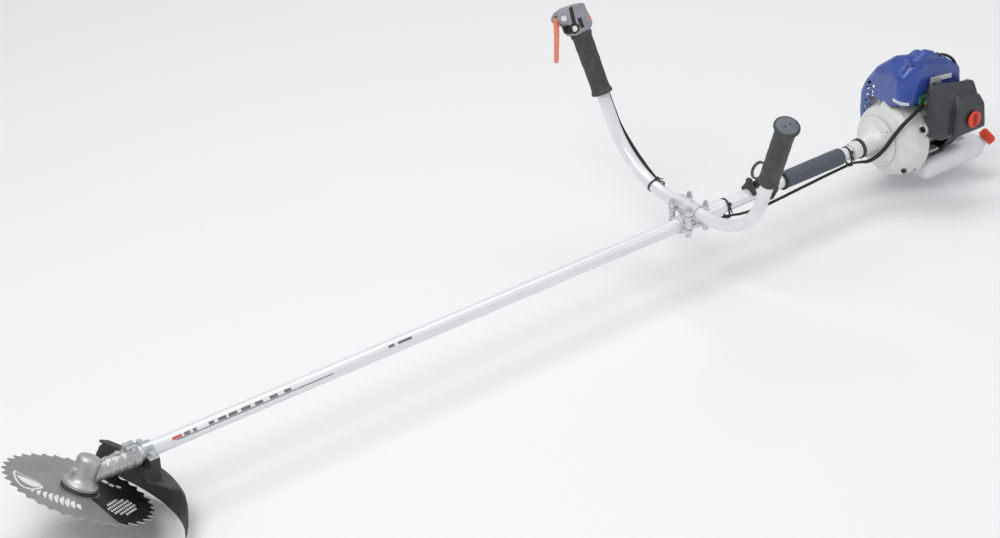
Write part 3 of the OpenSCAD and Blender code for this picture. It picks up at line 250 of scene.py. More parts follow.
# material: the CAD nodes that wear it
WEARERS = {
    "blade_steel": "saw_blade stabiliser_cup",
    "black_steel": "blade_holder harness_ring",
    "zinc_steel": "blade_nut head_bolts guard_bracket clamp_bolts",
    "machined_steel": "output_shaft bevel_gear bevel_pinion gear_bearings drive_shaft "
                      "clutch_drum crankshaft spark_plug",
    "cast_aluminium": "gear_case cylinder_barrel piston_and_rod flywheel_fan carburettor "
                      "crankcase",
    "cast_light": "clamp_lower clamp_middle clamp_cap",
    "tube_aluminium": "drive_tube tube_sleeve handle_pipe",
    "white_casting": "clutch_housing fan_case",
    "guard_plastic": "guard_shell hanger_bracket cable_ties recoil_starter starter_handle "
                     "air_cleaner_base",
    "grip_rubber": "left_grip right_grip plug_cap vibration_ring",
    "foam": "hip_pad",
    "housing_plastic": "throttle_housing_front throttle_housing_rear",
    "cap_white": "housing_screws starter_pulley",
    "lever_orange": "throttle_lever",
    "black_plastic": "choke_lever stop_button throttle_cables shaft_bushes",
    "cover_blue": "engine_cover",
    "cleaner_grey": "air_cleaner_cover",
    "cap_orange": "cleaner_knob fuel_cap",
    "tank_plastic": "fuel_tank primer_bulb",
    "muffler_steel": "muffler",
    "friction": "clutch_shoes",
    "brass": "throttle_drum",
    "filter_foam": "air_filter",
}
MAT_NAME_OF = {node: name for name, nodes in WEARERS.items() for node in nodes.split()}
for node, name in MAT_NAME_OF.items():
    NODES[node].data.materials.clear()
    NODES[node].data.materials.append(MAT[name])

# CAD solids that stay in view keep clean edges
for cad_object in NODES.values():
    cad_object.data.shade_smooth()
    cad_object.data.set_sharp_from_angle(angle=math.radians(32))


# ------------------------------------------------------------------ mesh helpers
WELD = 1e-6  # metres
CABLE_SIDES = 16
CORE = 0.01  # radius, mm, at which a turned profile meets its axis


def settle(ob, body, nodes):
    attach(ob, body)
    if nodes:
        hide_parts(*nodes)


def piece(name, verts, faces, material, nodes=(), angle=38.0, body="machine"):
    """A welded mesh object, smooth up to the given edge angle."""
    mesh = bpy.data.meshes.new(name)
    mesh.from_pydata([tuple(v) for v in verts], [], faces)
    mesh.materials.append(MAT[material])
    bm = bmesh.new()
    bm.from_mesh(mesh)
    bmesh.ops.remove_doubles(bm, verts=bm.verts, dist=WELD)
    bmesh.ops.recalc_face_normals(bm, faces=bm.faces)
    bm.to_mesh(mesh)
    bm.free()
    mesh.shade_smooth()
    mesh.set_sharp_from_angle(angle=math.radians(angle))
    ob = bpy.data.objects.new(name, mesh)
    scene.collection.objects.link(ob)
    settle(ob, body, nodes)
    return ob


def spline(points, steps):
    """Catmull-Rom curve through the points, with `steps` points to a span."""
    points = [Vector(p) for p in points]
    last = len(points) - 1
    curve = []
    for i in range(last):
        p0, p1, p2, p3 = (points[max(i - 1, 0)], points[i], points[i + 1],
                          points[min(i + 2, last)])
        for k in range(steps):
            t = k / steps
            curve.append(0.5 * (2 * p1 + (p2 - p0) * t
                                + (2 * p0 - 5 * p1 + 4 * p2 - p3) * t * t
                                + (3 * p1 - p0 - 3 * p2 + p3) * t ** 3))
    curve.append(points[-1])
    return curve


def cable(name, points, radius, nodes=()):
    """A round cable; radius may be a function of the distance run."""
    verts, faces = [], []
    sides = CABLE_SIDES
    last = len(points) - 1
    side = (points[1] - points[0]).normalized().orthogonal().normalized()
    run = 0.0
    for i, point in enumerate(points):
        heading = (points[min(i + 1, last)] - points[max(i - 1, 0)]).normalized()
        side = (side - heading * side.dot(heading)).normalized()
        other = heading.cross(side)
        if i:
            run += (point - points[i - 1]).length
        r = radius(run) if callable(radius) else radius
        for k in range(sides):
            turned = 2 * math.pi * k / sides
            verts.append(place(*(point + side * (r * math.cos(turned))
                                 + other * (r * math.sin(turned)))))
    for i in range(last):
        here, after = i * sides, (i + 1) * sides
        for k in range(sides):
            k2 = (k + 1) % sides
            faces.append((here + k, here + k2, after + k2, after + k))
    faces.append(tuple(range(sides))[::-1])
    faces.append(tuple(last * sides + k for k in range(sides)))
    piece(name, verts, faces, "cable_sheath", nodes, angle=50)


def lathe(name, profile, local, material, nodes=(), sides=96, bend=None, angle=38.0):
    """Turns a closed loop of (along, radius) about local z; bend may move each point."""
    verts, faces = [], []
    count = len(profile)
    for j in range(sides):
        turned = 2 * math.pi * j / sides
        for z, radius in profile:
            v = Vector((radius * math.cos(turned), radius * math.sin(turned), z))
            if bend:
                v = bend(v, turned, z, radius)
            verts.append(place(*(local @ v)))
    for j in range(sides):
        here, after = j * count, (j + 1) % sides * count
        for i in range(count):
            i2 = (i + 1) % count
            faces.append((here + i, here + i2, after + i2, after + i))
    return piece(name, verts, faces, material, nodes, angle)


def resample(profile, step):
    """The same closed profile with extra points, so that it can be bent."""
    dense = []
    for i in range(len(profile)):
        start, end = Vector(profile[i]), Vector(profile[(i + 1) % len(profile)])
        count = max(1, int((end - start).length / step))
        dense += [tuple(start.lerp(end, j / count)) for j in range(count)]
    return dense


def bake(ob):
    """Replaces the mesh by the result of the modifiers."""
    depsgraph = bpy.context.evaluated_depsgraph_get()
    mesh = bpy.data.meshes.new_from_object(ob.evaluated_get(depsgraph))
    ob.modifiers.clear()
    ob.data = mesh


def soften(node, voxel, turns, keep, materials=None, shape=None, paint=None):
    """The CAD solid with rounded edges: remeshed (voxel in mm), relaxed, shaped, thinned.

    shape moves a design point or returns None; paint gives the material index at a point.
    """
    ob = bpy.data.objects.new(node + "_form", NODES[node].data.copy())
    scene.collection.objects.link(ob)
    ob.data.materials.clear()
    for name in materials or [MAT_NAME_OF[node]]:
        ob.data.materials.append(MAT[name])
    remesh = ob.modifiers.new("remesh", "REMESH")
    remesh.mode = "VOXEL"
    remesh.voxel_size = voxel * MM
    relax = ob.modifiers.new("relax", "SMOOTH")
    relax.factor = 0.5
    relax.iterations = turns
    bake(ob)
    if shape:
        for v in ob.data.vertices:
            moved = shape(to_design(v.co))
            if moved is not None:
                v.co = (moved - ROW_CENTRE) * MM
    if keep < 1:
        ob.modifiers.new("thin", "DECIMATE").ratio = keep
        bake(ob)
    ob.data.shade_smooth()
    for face in ob.data.polygons:
        face.material_index = paint(to_design(face.center)) if paint else 0
    settle(ob, BODY_OF[node], [node])
    return ob


# ------------------------------------------------------------------ prints on the blade
BLADE_TOP = -17.8  # height of the printed face in head coordinates
BLADE_RADIUS = 115.0
TOOTH_PITCH = 10.0  # degrees
PRINT_INSET = 0.12
# one tooth: share of the pitch, change of radius
TOOTH = [(0, 0), (0.06, -1.6), (0.30, -7.5), (0.42, -7.9), (0.55, -7.2), (0.92, -1.2)]
SECTOR_START, SECTOR_END = -86.5, 34.0  # degrees
SECTOR_INNER = 31.0
SECTOR_RINGS = [0.0, 0.35, 0.7, 0.9, 1.0]  # shares of the way from inner edge to teeth
SECTOR_LIFTS = (0.12, 0.02)  # top and bottom above the blade
# lift of the top above the blade, and thickness
MARK_ON_STEEL = (0.2, 0.19)
MARK_ON_BLACK = (0.26, 0.13)


def polar(radius, degrees):
    return (radius * math.cos(math.radians(degrees)), radius * math.sin(math.radians(degrees)))


def black_sector():
    """Black print from an inner arc out over the teeth."""
    outer = []
    for i in range(-12, 6):
        for share, change in TOOTH:
            degrees = TOOTH_PITCH * (i + share)
            if SECTOR_START <= degrees <= SECTOR_END:
                outer.append(polar(BLADE_RADIUS + change - PRINT_INSET, degrees))
    inner = [polar(SECTOR_INNER, math.degrees(math.atan2(y, x))) for x, y in outer]
    verts, faces = [], []
    for lift in SECTOR_LIFTS:
        for t in SECTOR_RINGS:
            for (x0, y0), (x1, y1) in zip(inner, outer):
                verts.append(place_on_head(x0 + (x1 - x0) * t, y0 + (y1 - y0) * t,
                                           BLADE_TOP + lift))
    count = len(outer)
    spans = len(SECTOR_RINGS) - 1
    under = (spans + 1) * count  # first vertex of the bottom
    for j in range(spans):
        for i in range(count - 1):
            top = j * count + i
            faces.append((top, top + 1, top + count + 1, top + count))
            low = under + top
            faces.append((low, low + count, low + count + 1, low + 1))
    for i in range(count - 1):
        rim = spans * count + i
        faces.append((rim, rim + 1, under + rim + 1, under + rim))
        faces.append((i, under + i, under + i + 1, i + 1))
    for end in (0, count - 1):
        for j in range(spans):
            top = j * count + end
            faces.append((top, top + count, under + top + count, under + top))
    piece("blade_black_print", verts, faces, "print_black", body="cutter")


def layers(outline, lift, thick):
    """The outline at the top and the bottom of a print."""
    top = BLADE_TOP + lift
    return ([place_on_head(x, y, top) for x, y in outline],
            [place_on_head(x, y, top - thick) for x, y in outline])


def patch(outline, lift, thick):
    """A filled outline with a thickness."""
    n = len(outline)
    top, bottom = layers(outline, lift, thick)
    faces = [tuple(range(n)), tuple(range(n, 2 * n))[::-1]]
    faces += [(i, (i + 1) % n, n + (i + 1) % n, n + i) for i in range(n)]
    return top + bottom, faces


def rim_patch(outer, shrink, lift, thick):
    """The band between an outline and the same outline shrunk about its centre."""
    n = len(outer)
    centre = Vector((sum(x for x, _ in outer) / n, sum(y for _, y in outer) / n))
    inner = [tuple(centre + (Vector(q) - centre) * shrink) for q in outer]
    top, bottom = layers(outer + inner, lift, thick)
    faces = []
    for i in range(n):
        j = (i + 1) % n
        faces += [(i, j, n + j, n + i), (2 * n + j, 2 * n + i, 3 * n + i, 3 * n + j),
                  (i, 2 * n + i, 2 * n + j, j), (n + j, 3 * n + j, 3 * n + i, n + i)]
    return top + bottom, faces


def white_mark(name, patches):
    verts, faces = [], []
    for patch_verts, patch_faces in patches:
        start = len(verts)
        verts += patch_verts
        faces += [tuple(i + start for i in face) for face in patch_faces]
    piece(name, verts, faces, "print_white", body="cutter")


def rounded(points, steps=6):
    """Closed smooth outline through the points."""
    points = [Vector((x, y, 0)) for x, y in points]
    curve = spline(points[-2:] + points + points[:3], steps)
    return [(q.x, q.y) for q in curve[2 * steps:-(2 * steps) - 1]]


# crescents in order along their arc: length in mm, and degrees swept
CRESCENTS = [(9, 5), (13, 8), (17, 11), (20, 11.5), (23, 11), (25, 9), (25, 6), (22, 4), (15, 2)]
CRESCENT_HALF_WIDTH = 5.2


def crescents():
    patches = []
    for i, (length, swept) in enumerate(CRESCENTS):
        mid_angle = -169 + 5.0 * i + 0.17 * i * i
        mid_radius = 88.7 - 5.6 * i + 0.42 * i * i
        left, right = [], []
        for k in range(13):
            t = k / 12
            radius = mid_radius + (t - 0.58) * length * 1.25
            degrees = mid_angle + (t - 0.5) * swept - 2.6 * math.sin(math.pi * t)
            taper = math.sin(math.pi * min(1, max(0, t * 0.96 + 0.02))) ** 0.7
            half = math.degrees(CRESCENT_HALF_WIDTH * taper / radius)
            left.append(polar(radius, degrees - half * 0.35))
            right.append(polar(radius, degrees + half))
        patches.append(patch(left + right[::-1], *MARK_ON_STEEL))
    white_mark("blade_white_crescents", patches)


# leaf-shaped mark, x and y on the blade
LEAF = [(-84, 46), (-93, 32), (-99, 12), (-99, -8), (-88, -14), (-66, -8), (-62, 6), (-68, 20),
        (-76, 30)]
LEAF_STROKE = [(-88, 31), (-89, 12), (-82, -2), (-70, -4), (-65, 4), (-70, 14), (-77, 21)]

OVAL_CENTRE = Vector((42.0, -54.0))
OVAL_LONG = Vector((0.79, 0.61)) * 34.0
OVAL_SHORT = Vector((-0.61, 0.79)) * 19.0
# in shares of the oval's half axes
HATCH_ROWS, FIRST_ROW, ROW_PITCH, ROW_HALF = 6, -0.83, 0.332, 0.1
DASH_LENGTH, DASH_PITCH, DASH_SLANT, ROW_STAGGER = 0.11, 0.2, 0.07, 0.06
# centre x, centre y, half width, half height
SPOTS = [(61.5, 30.5, 5.2, 6.6), (67, 19.5, 4.2, 5.2), (77, 15.5, 4.0, 4.8)]


def hatched_oval():
    """Slanted dashes filling an oval, and three plain spots, on the black sector."""
    patches = []
    for k in range(HATCH_ROWS):
        row = FIRST_ROW + k * ROW_PITCH
        half = math.sqrt(max(0.02, 1 - row * row))
        start = -half + ROW_STAGGER * (k % 2)
        while start < half - 0.03:
            dash = min(DASH_LENGTH, half - start)
            corners = ((0, -ROW_HALF), (dash, -ROW_HALF), (dash + DASH_SLANT, ROW_HALF),
                       (DASH_SLANT, ROW_HALF))
            outline = [tuple(OVAL_CENTRE + OVAL_LONG * (start + dx) + OVAL_SHORT * (row + dy))
                       for dx, dy in corners]
            patches.append(patch(outline, *MARK_ON_BLACK))
            start += DASH_PITCH
    for x, y, half_x, half_y in SPOTS:
        outline = [(x + half_x * math.cos(t * math.pi / 8), y + half_y * math.sin(t * math.pi / 8))
                   for t in range(16)]
        patches.append(patch(outline, *MARK_ON_BLACK))
    white_mark("blade_hatched_oval", patches)


black_sector()
crescents()
white_mark("blade_leaf_mark", [rim_patch(rounded(LEAF), 0.84, *MARK_ON_STEEL),
                               patch(rounded(LEAF_STROKE), *MARK_ON_STEEL)])
hatched_oval()

# ------------------------------------------------------------------ cables
# directions from the throttle cable to the lead beside it: on the leg, by the tube, at the engine
BY_LEG = Vector((1, 0.2, 0))
BY_TUBE = Vector((0, -0.9, 0.45))
BY_ENGINE = Vector((-0.75, 0, 0.65))
CABLE_GAP = 4.75  # between the two centre lines
# direction of the second cable, then the stations of the first
ROUTE = [
    (BY_LEG, [(1150.8, 217.3, 161.2), (1154.5, 204.8, 130), (1157.5, 189, 100), (1161, 156, 66),
              (1164.5, 122, 39), (1166, 90, 22)]),
    (BY_LEG + 0.3 * BY_TUBE, [(1176, 62, 3)]),
    (BY_LEG + BY_TUBE, [(1188, 34, -11)]),
    (0.3 * BY_LEG + BY_TUBE, [(1203, 12, -18.5)]),
    (BY_TUBE, [(1216, -1, -19.5), (1230, -6, -18.2), (1243, -8, -20), (1262, -9, -23.5),
               (1300, -9, -27), (1340, -9, -26.5), (1390, -9, -23.5), (1450, -8.6, -20.5),
               (1505, -8, -18.6), (1518, -8, -17.6)]),
    (BY_TUBE + 0.15 * BY_ENGINE, [(1530, -8.5, -19.5)]),
    (BY_TUBE + 0.6 * BY_ENGINE, [(1545.5, -11, -22.6)]),
    (BY_ENGINE, [(1556, -18, -22.5), (1566.4, -27.8, -13), (1572, -34, -3.5),
                 (1577, -39.5, 7), (1583.6, -44, 19.5), (1591, -51, 36), (1599, -58.5, 52),
                 (1614, -63, 65), (1630, -63.8, 73.5), (1640, -63.8, 77.5)]),
]


def cable_points(gap):
    """The route moved sideways by gap, square to its heading."""
    stations = [(Vector(point), toward) for toward, points in ROUTE for point in points]
    moved = []
    for i, (point, toward) in enumerate(stations):
        before = stations[max(i - 1, 0)][0]
        after = stations[min(i + 1, len(stations) - 1)][0]
        heading = (after - before).normalized()
        side = (toward - heading * toward.dot(heading)).normalized()
        moved.append(point + side * gap)
    return moved


cable("throttle_cable", spline(cable_points(0), 5), 2.2, ["throttle_cables"])
cable("stop_lead_conduit", spline(cable_points(CABLE_GAP), 5),
      lambda run: 2.15 + 0.12 * math.sin(run * 1.6))

# ------------------------------------------------------------------ grips
GRIP_BORE = 11.03
GRIP_STEP = 2.2
LEFT_LENGTH = 135.0
RIGHT_LENGTH = 112.0
LEFT_GRIP = LEFT_LEG @ shift(0, 0, 54)
RIGHT_GRIP = RIGHT_LEG @ shift(0, 0, 55)
# along the grip from its lower end, radius
LEFT_PROFILE = [
    (0, GRIP_BORE), (0, 16.0), (0.8, 17.0), (3.0, 17.6), (5.0, 17.0),
    (LEFT_LENGTH - 12, 16.8), (LEFT_LENGTH - 8, 17.4), (LEFT_LENGTH - 5.5, 19.5),
    (LEFT_LENGTH - 4.2, 21.3), (LEFT_LENGTH - 2.4, 21.6), (LEFT_LENGTH - 0.9, 21.3),
    (LEFT_LENGTH, 20.4), (LEFT_LENGTH + 1.4, 15), (LEFT_LENGTH + 2, 11),
    (LEFT_LENGTH + 2, CORE), (LEFT_LENGTH - 2, CORE), (LEFT_LENGTH - 2, GRIP_BORE)]
RIGHT_PROFILE = [
    (0.05, GRIP_BORE), (0.05, 16.4), (0.6, 18.2), (3, 18.9), (5.5, 18.3), (8, 17.0),
    (12, 16.4), (30, 16.2), (60, 16.8), (RIGHT_LENGTH - 24, 17.2), (RIGHT_LENGTH - 12, 16.8),
    (RIGHT_LENGTH - 8, 17.4), (RIGHT_LENGTH - 6, 18.6), (RIGHT_LENGTH - 4, 18.9),
    (RIGHT_LENGTH - 1, 18.6), (RIGHT_LENGTH - 0.1, 17.6), (RIGHT_LENGTH - 0.1, GRIP_BORE)]


def make_grip(name, profile, length, local, node):
    def bend(v, turned, z, radius):
        """Shallow finger waves and 18 fine lines along the grip, fading at the ends."""
        if radius > 12 and 8 < z < length - 14:
            fade = min(1, (z - 8) / 6, (length - 14 - z) / 6)
            waves = 0.010 * math.sin(z * 2 * math.pi / 27.0) - 0.006
            lines = 0.012 * max(0, math.cos(turned * 18)) ** 6
            scale = 1 + (waves - lines) * fade
            v.x *= scale
            v.y *= scale
        return v

    return lathe(name, resample(profile, GRIP_STEP), local, "grip_rubber",
                 [node], sides=120, bend=bend, angle=45)


left_grip = make_grip("left_grip_rubber", LEFT_PROFILE, LEFT_LENGTH, LEFT_GRIP, "left_grip")
left_grip.data.materials.append(MAT["grip_end_cap"])
to_left_grip = LEFT_GRIP.inverted()
for face in left_grip.data.polygons:
    centre = to_left_grip @ to_design(face.center)
    if centre.z > LEFT_LENGTH + 0.2 and math.hypot(centre.x, centre.y) < 19:
        face.material_index = 1
# two dots on the end cap
DOT_PROFILE = [(LEFT_LENGTH + 1.6, CORE), (LEFT_LENGTH + 1.6, 1.9), (LEFT_LENGTH + 2.35, 1.8),
               (LEFT_LENGTH + 2.5, 1.2), (LEFT_LENGTH + 2.5, CORE)]
for k, x in enumerate((-5.2, 5.2)):
    lathe("left_grip_dot_%d" % k, DOT_PROFILE, LEFT_LEG @ shift(x, 0, 54), "black_plastic",
          sides=32)
make_grip("right_grip_rubber", RIGHT_PROFILE, RIGHT_LENGTH, RIGHT_GRIP, "right_grip")

# ------------------------------------------------------------------ hip pad
PAD_START = 1366
PAD_LENGTH = 138.0
pad_low, pad_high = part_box("hip_pad")
PAD_RADIUS = (pad_high.z - pad_low.z) / 2 / MM
# along the pad, radius
PAD_PROFILE = [
    (0.4, 12.05), (0.2, PAD_RADIUS - 5), (0.8, PAD_RADIUS - 2.2), (2.2, PAD_RADIUS - 0.9),
    (4.4, PAD_RADIUS - 0.5), (PAD_LENGTH - 4.4, PAD_RADIUS - 0.5),
    (PAD_LENGTH - 2.2, PAD_RADIUS - 0.9), (PAD_LENGTH - 0.8, PAD_RADIUS - 2.2),
    (PAD_LENGTH - 0.2, PAD_RADIUS - 5), (PAD_LENGTH - 0.4, 12.05)]
BAND_PROFILE = [(0, 12.06), (0, PAD_RADIUS - 0.6), (0.5, PAD_RADIUS + 0.1),
                (4.3, PAD_RADIUS + 0.1), (4.8, PAD_RADIUS - 0.6), (4.8, 12.06)]


def bend_foam(v, turned, z, radius):
    """Soft dents, a slight swell and one seam along the foam."""
    if radius > 13:
        fade = min(1, z / 8, (PAD_LENGTH - z) / 8)
        q = Vector((math.cos(turned) * 1.6, math.sin(turned) * 1.6, z * 0.05))
        dents = 0.42 * noise.noise(q * 1.3) + 0.16 * noise.noise(q * 5 + Vector((3, 1, 2)))
        swell = 0.25 * math.sin(math.pi * z / PAD_LENGTH)
        seam = -0.9 * math.exp(-((turned - 1.9) / 0.035) ** 2)
        scale = 1 + (fade * (dents + swell) + seam - 0.25) / radius
        v = Vector((v.x * scale, v.y * scale, v.z))
    return v


lathe("hip_pad_foam", resample(PAD_PROFILE, 1.6), shift(PAD_START, 0, 0) @ ALONG_X, "foam",
      ["hip_pad"], sides=128, bend=bend_foam, angle=50)
lathe("hip_pad_band", BAND_PROFILE, shift(PAD_START - 5, 0, 0) @ ALONG_X, "black_plastic")

# ------------------------------------------------------------------ mouldings and castings
# node, voxel in mm, smoothing turns, share of faces kept
SOFTENED = [
    ("guard_shell", 1.35, 8, 0.35), ("gear_case", 0.8, 5, 0.4), ("clamp_cap", 0.7, 4, 0.5),
    ("clamp_middle", 0.7, 4, 0.5), ("clamp_lower", 0.7, 4, 0.5),
    ("clutch_housing", 1.0, 4, 0.4), ("fan_case", 1.35, 4, 0.35), ("crankcase", 1.2, 4, 0.35),
    ("fuel_tank", 1.5, 10, 0.3), ("hanger_bracket", 0.6, 4, 0.5), ("muffler", 1.1, 4, 0.35),
    ("recoil_starter", 1.2, 4, 0.4), ("starter_handle", 0.6, 5, 0.5), ("plug_cap", 0.5, 5, 0.5),
    ("fuel_cap", 0.6, 3, 0.5), ("throttle_lever", 0.55, 4, 0.6),
]
for node, voxel, turns, keep in SOFTENED:
    soften(node, voxel, turns, keep)

COVER_OUT = Vector((-0.58, -0.2, 0.79)).normalized()
# start, end, half width, depth, edge softness: two louvres over the crown, then three creases
TROUGHS = [
    ((1611, -32, 140), (1631, -32, 157), 3.4, 3.6, 0.9),
    ((1626, -45, 158), (1651, -45, 172), 3.6, 3.8, 0.9),
    ((1606, -20, 112), (1614, -30, 140), 3.4, 1.7, 1.4),
    ((1606, -43, 114), (1628, -53, 134), 3.4, 1.7, 1.4),
    ((1618, -52, 104), (1650, -57, 136), 3.2, 1.4, 1.4),
]


def trough_sink(q, start, end, width, depth, edge):
    """How far point q sinks along COVER_OUT for one trough."""
    def flat(v):
        return v - COVER_OUT * v.dot(COVER_OUT)

    start, end = Vector(start), Vector(end)
    offset, line = flat(q - start), flat(end - start)
    t = max(0.0, min(1.0, offset.dot(line) / line.dot(line)))
    distance = (offset - line * t).length
    return COVER_OUT * (depth * (1 / (1 + math.exp((distance - width) / edge))))


def shape_cover(q):
    sink = Vector()
    for trough in TROUGHS:
        sink -= trough_sink(q, *trough)
    return q + sink


cover = soften("engine_cover", 1.15, 8, 0.35, shape=shape_cover)
# the rear lip is black
soften("air_cleaner_cover", 1.0, 6, 0.35, materials=["cleaner_grey", "black_plastic"],
       paint=lambda q: int(q.x > 1744.5))
soften("air_cleaner_base", 0.9, 3, 0.4, materials=["cleaner_bracket"])
# the outermost part on the -y side is darker
soften("cleaner_knob", 0.6, 3, 0.5, materials=["cap_orange", "knob_bar"],
       paint=lambda q: int(q.y < -123.6))

# throttle housing, in a frame at the foot of the housing on the right leg
HOUSING = RIGHT_LEG @ shift(0, 0, 167.2)
TO_HOUSING = HOUSING.inverted()
BUTTON_AHEAD, BUTTON_UP = 28.5, 14.5  # ahead is local -x
POCKET_RADIUS = 5.3
POCKET_FLOOR = 4.0  # inside this radius points belong to the floor
POCKET_Y = -7.0


def paint_housing(q):
    v = TO_HOUSING @ q
    ahead, up = -v.x, v.z
    band = v.y < 0 and abs(ahead - 10 - (49 - up) * 0.14) < 4.0 and 20 < up < 49
    button_ring = (ahead - BUTTON_AHEAD) ** 2 + (up - BUTTON_UP) ** 2 < 8.0 ** 2
    foot = v.y < 0 and ((ahead - 17) / 11) ** 2 + ((up - 13) / 9) ** 2 < 1
    block = -3 < ahead < 5 and 8 < up < 26 and v.y < -8
    if band or button_ring or foot or block:
        return 1
    if ahead < -17 and 15 < up < 24:
        return 2
    return 0


def shape_housing(q):
    """Keeps the button pocket open to its full width and depth."""
    v = TO_HOUSING @ q
    dx, dz = v.x + BUTTON_AHEAD, v.z - BUTTON_UP
    radius = math.hypot(dx, dz)
    if not (radius < POCKET_RADIUS and -20 < v.y < POCKET_Y):
        return None
    if radius > POCKET_FLOOR:
        v.x = -BUTTON_AHEAD + dx * POCKET_RADIUS / radius
        v.z = BUTTON_UP + dz * POCKET_RADIUS / radius
    else:
        v.y = POCKET_Y
    return HOUSING @ v


for node in ("throttle_housing_front", "throttle_housing_rear"):
    soften(node, 0.5, 4, 1, materials=["housing_plastic", "black_plastic", "lever_orange"],
           shape=shape_housing, paint=paint_housing)


# ------------------------------------------------------------------ prints laid on surfaces
PRINT_UNDER = 0.02  # mm from the surface to the underside of a print
LONGEST_STEP = 0.012  # metres; cells that jump further are left out
# side of a cell: neighbour step, then the cell's corners on that side
CELL_SIDES = [(-1, 0, (0, 0), (0, 1)), (1, 0, (1, 0), (1, 1)),
              (0, -1, (0, 0), (1, 0)), (0, 1, (0, 1), (1, 1))]


def surface_tree(ob):
    return BVHTree.FromPolygons([v.co for v in ob.data.vertices],
                                [tuple(face.vertices) for face in ob.data.polygons])


def lay_print(name, surface, origin, across, down, away, columns, rows, lift, material,
              filled=lambda s, t: True):
    """A thin patch on a surface, seen from `away`; filled(s, t) picks its cells."""
    away, across, down, origin = (Vector(v) for v in (away, across, down, origin))
    away.normalize()
    grid = {}
    for i in range(columns + 1):
        for j in range(rows + 1):
            q = origin + across * (i / columns) + down * (j / rows)
            hit, normal, _, _ = surface.ray_cast(place(*(q + away * 40)), -away, 0.2)
            if hit is None:
                continue
            if normal.dot(away) < 0:
                normal = -normal
            grid[i, j] = (hit + normal * lift * MM, hit + normal * PRINT_UNDER * MM)
    verts, faces, index = [], [], {}

    def vert(i, j, layer):
        if (i, j, layer) not in index:
            index[i, j, layer] = len(verts)
            verts.append(grid[i, j][layer])
        return index[i, j, layer]

    def corners(i, j):
        return (i, j), (i + 1, j), (i, j + 1), (i + 1, j + 1)

    cells = {(i, j) for i in range(columns) for j in range(rows)
             if filled((i + 0.5) / columns, (j + 0.5) / rows)
             and all(corner in grid for corner in corners(i, j))}
    cells = {(i, j) for i, j in cells
             if max((grid[corner][0] - grid[i, j][0]).length
                    for corner in corners(i, j)[1:]) < LONGEST_STEP}
    for i, j in cells:
        for layer in (0, 1):
            face = (vert(i, j, layer), vert(i + 1, j, layer), vert(i + 1, j + 1, layer),
                    vert(i, j + 1, layer))
            faces.append(face[::-1] if layer else face)
        for di, dj, (ai, aj), (bi, bj) in CELL_SIDES:
            if (i + di, j + dj) not in cells:
                a, b = (i + ai, j + aj), (i + bi, j + bj)
                faces.append((vert(*a, 0), vert(*b, 0), vert(*b, 1), vert(*a, 1)))
    # no piece is made where the surface is missed
    if faces:
        piece(name, verts, faces, material, angle=60)


tube_surface = surface_tree(NODES["drive_tube"])


def tube_print(name, start, length, width, columns, rows, lift, color, bars=None):
    """A print on the upper -y side of the tube; bars are the filled (from, to) in x."""
    def filled(s, t):
        return not bars or any(a <= start[0] + s * length <= b for a, b in bars)

    material, slot = {"red": ("print_red", "cap_orange"),
                      "grey": ("print_grey", "black_plastic")}[color]
    lay_print(name, tube_surface, start, (length, 0, 0), (0, -0.78 * width, -0.62 * width),
              (0, -0.62, 0.78), columns, rows, lift, material, filled)


DARK_BARS = [(164, 174), (179, 185), (206, 215), (222, 236), (240, 255), (262, 278),
             (286, 300), (312, 326), (338, 350)]
SMALL_BARS = [(529, 540), (547, 573)]
# name, start, length, width, columns, rows, lift, colour, bars
TUBE_PRINTS = [
    ("tube_print_red", (144, 0, 0), 16, 4.6, 8, 4, 0.18, "red"),
    ("tube_print_dark", (160, 0, 0), 192, 4.6, 192, 4, 0.18, "grey", DARK_BARS),
    ("tube_print_line", (150, -4.2, -3.3), 276, 1.2, 60, 2, 0.15, "grey"),
    ("tube_print_small", (528, 0, 0), 47, 4.0, 47, 4, 0.18, "grey", SMALL_BARS),
]
for row in TUBE_PRINTS:
    tube_print(*row)

# white labels on the cover; the strip has a slot along its middle
cover_surface = surface_tree(cover)
lay_print("cover_strip", cover_surface, origin=(1601, -26, 91), across=(12, -27, -1.5),
          down=(0, 0, -6), away=(-0.72, -0.69, 0.08), columns=40, rows=16, lift=0.2,
          material="print_white",
          filled=lambda s, t: not (0.42 < t < 0.58 and 0.1 < s < 0.9))
lay_print("cover_label", cover_surface, origin=(1660, -57, 124), across=(53, 0, -7.4),
          down=(1, 0, -9), away=(0, -1, 0.02), columns=60, rows=18, lift=0.2,
          material="print_white")

# ------------------------------------------------------------------ small engine parts
# stations of the spark plug lead from its boot
LEAD = [(1709, -22.2, 138.4), (1715, -22.6, 138.6), (1719, -26, 139.4), (1721.5, -34, 140),
        (1724, -41, 138), (1727.5, -46, 133), (1730, -49.5, 125), (1731, -50, 117)]
# turned profiles: along, radius
ADJUSTER_PROFILE = [(0, CORE), (0, 1.8), (1.2, 2.7), (9, 2.8), (10, 2.2), (10.5, 1.6),
                    (15, 1.6), (15.4, CORE)]
CLIP_PROFILE = [(0, CORE), (0, 9.2), (0.8, 10.2), (5.4, 10.2), (6.4, 9.2), (6.4, 4.0),
                (5.2, 3.6), (5.2, CORE)]
SCREW_PROFILE = [(0.4, CORE), (0.3, 5.2), (-3.9, 5.1), (-4.4, 4.4), (-3.9, 3.0), (-3.4, 2.5),
                 (0.5, 2.3), (0.5, CORE)]
SCREW_PLACES = [(-69, 34), (-52, -46)]  # y, z
SCREW_LAST_X = 1638.0

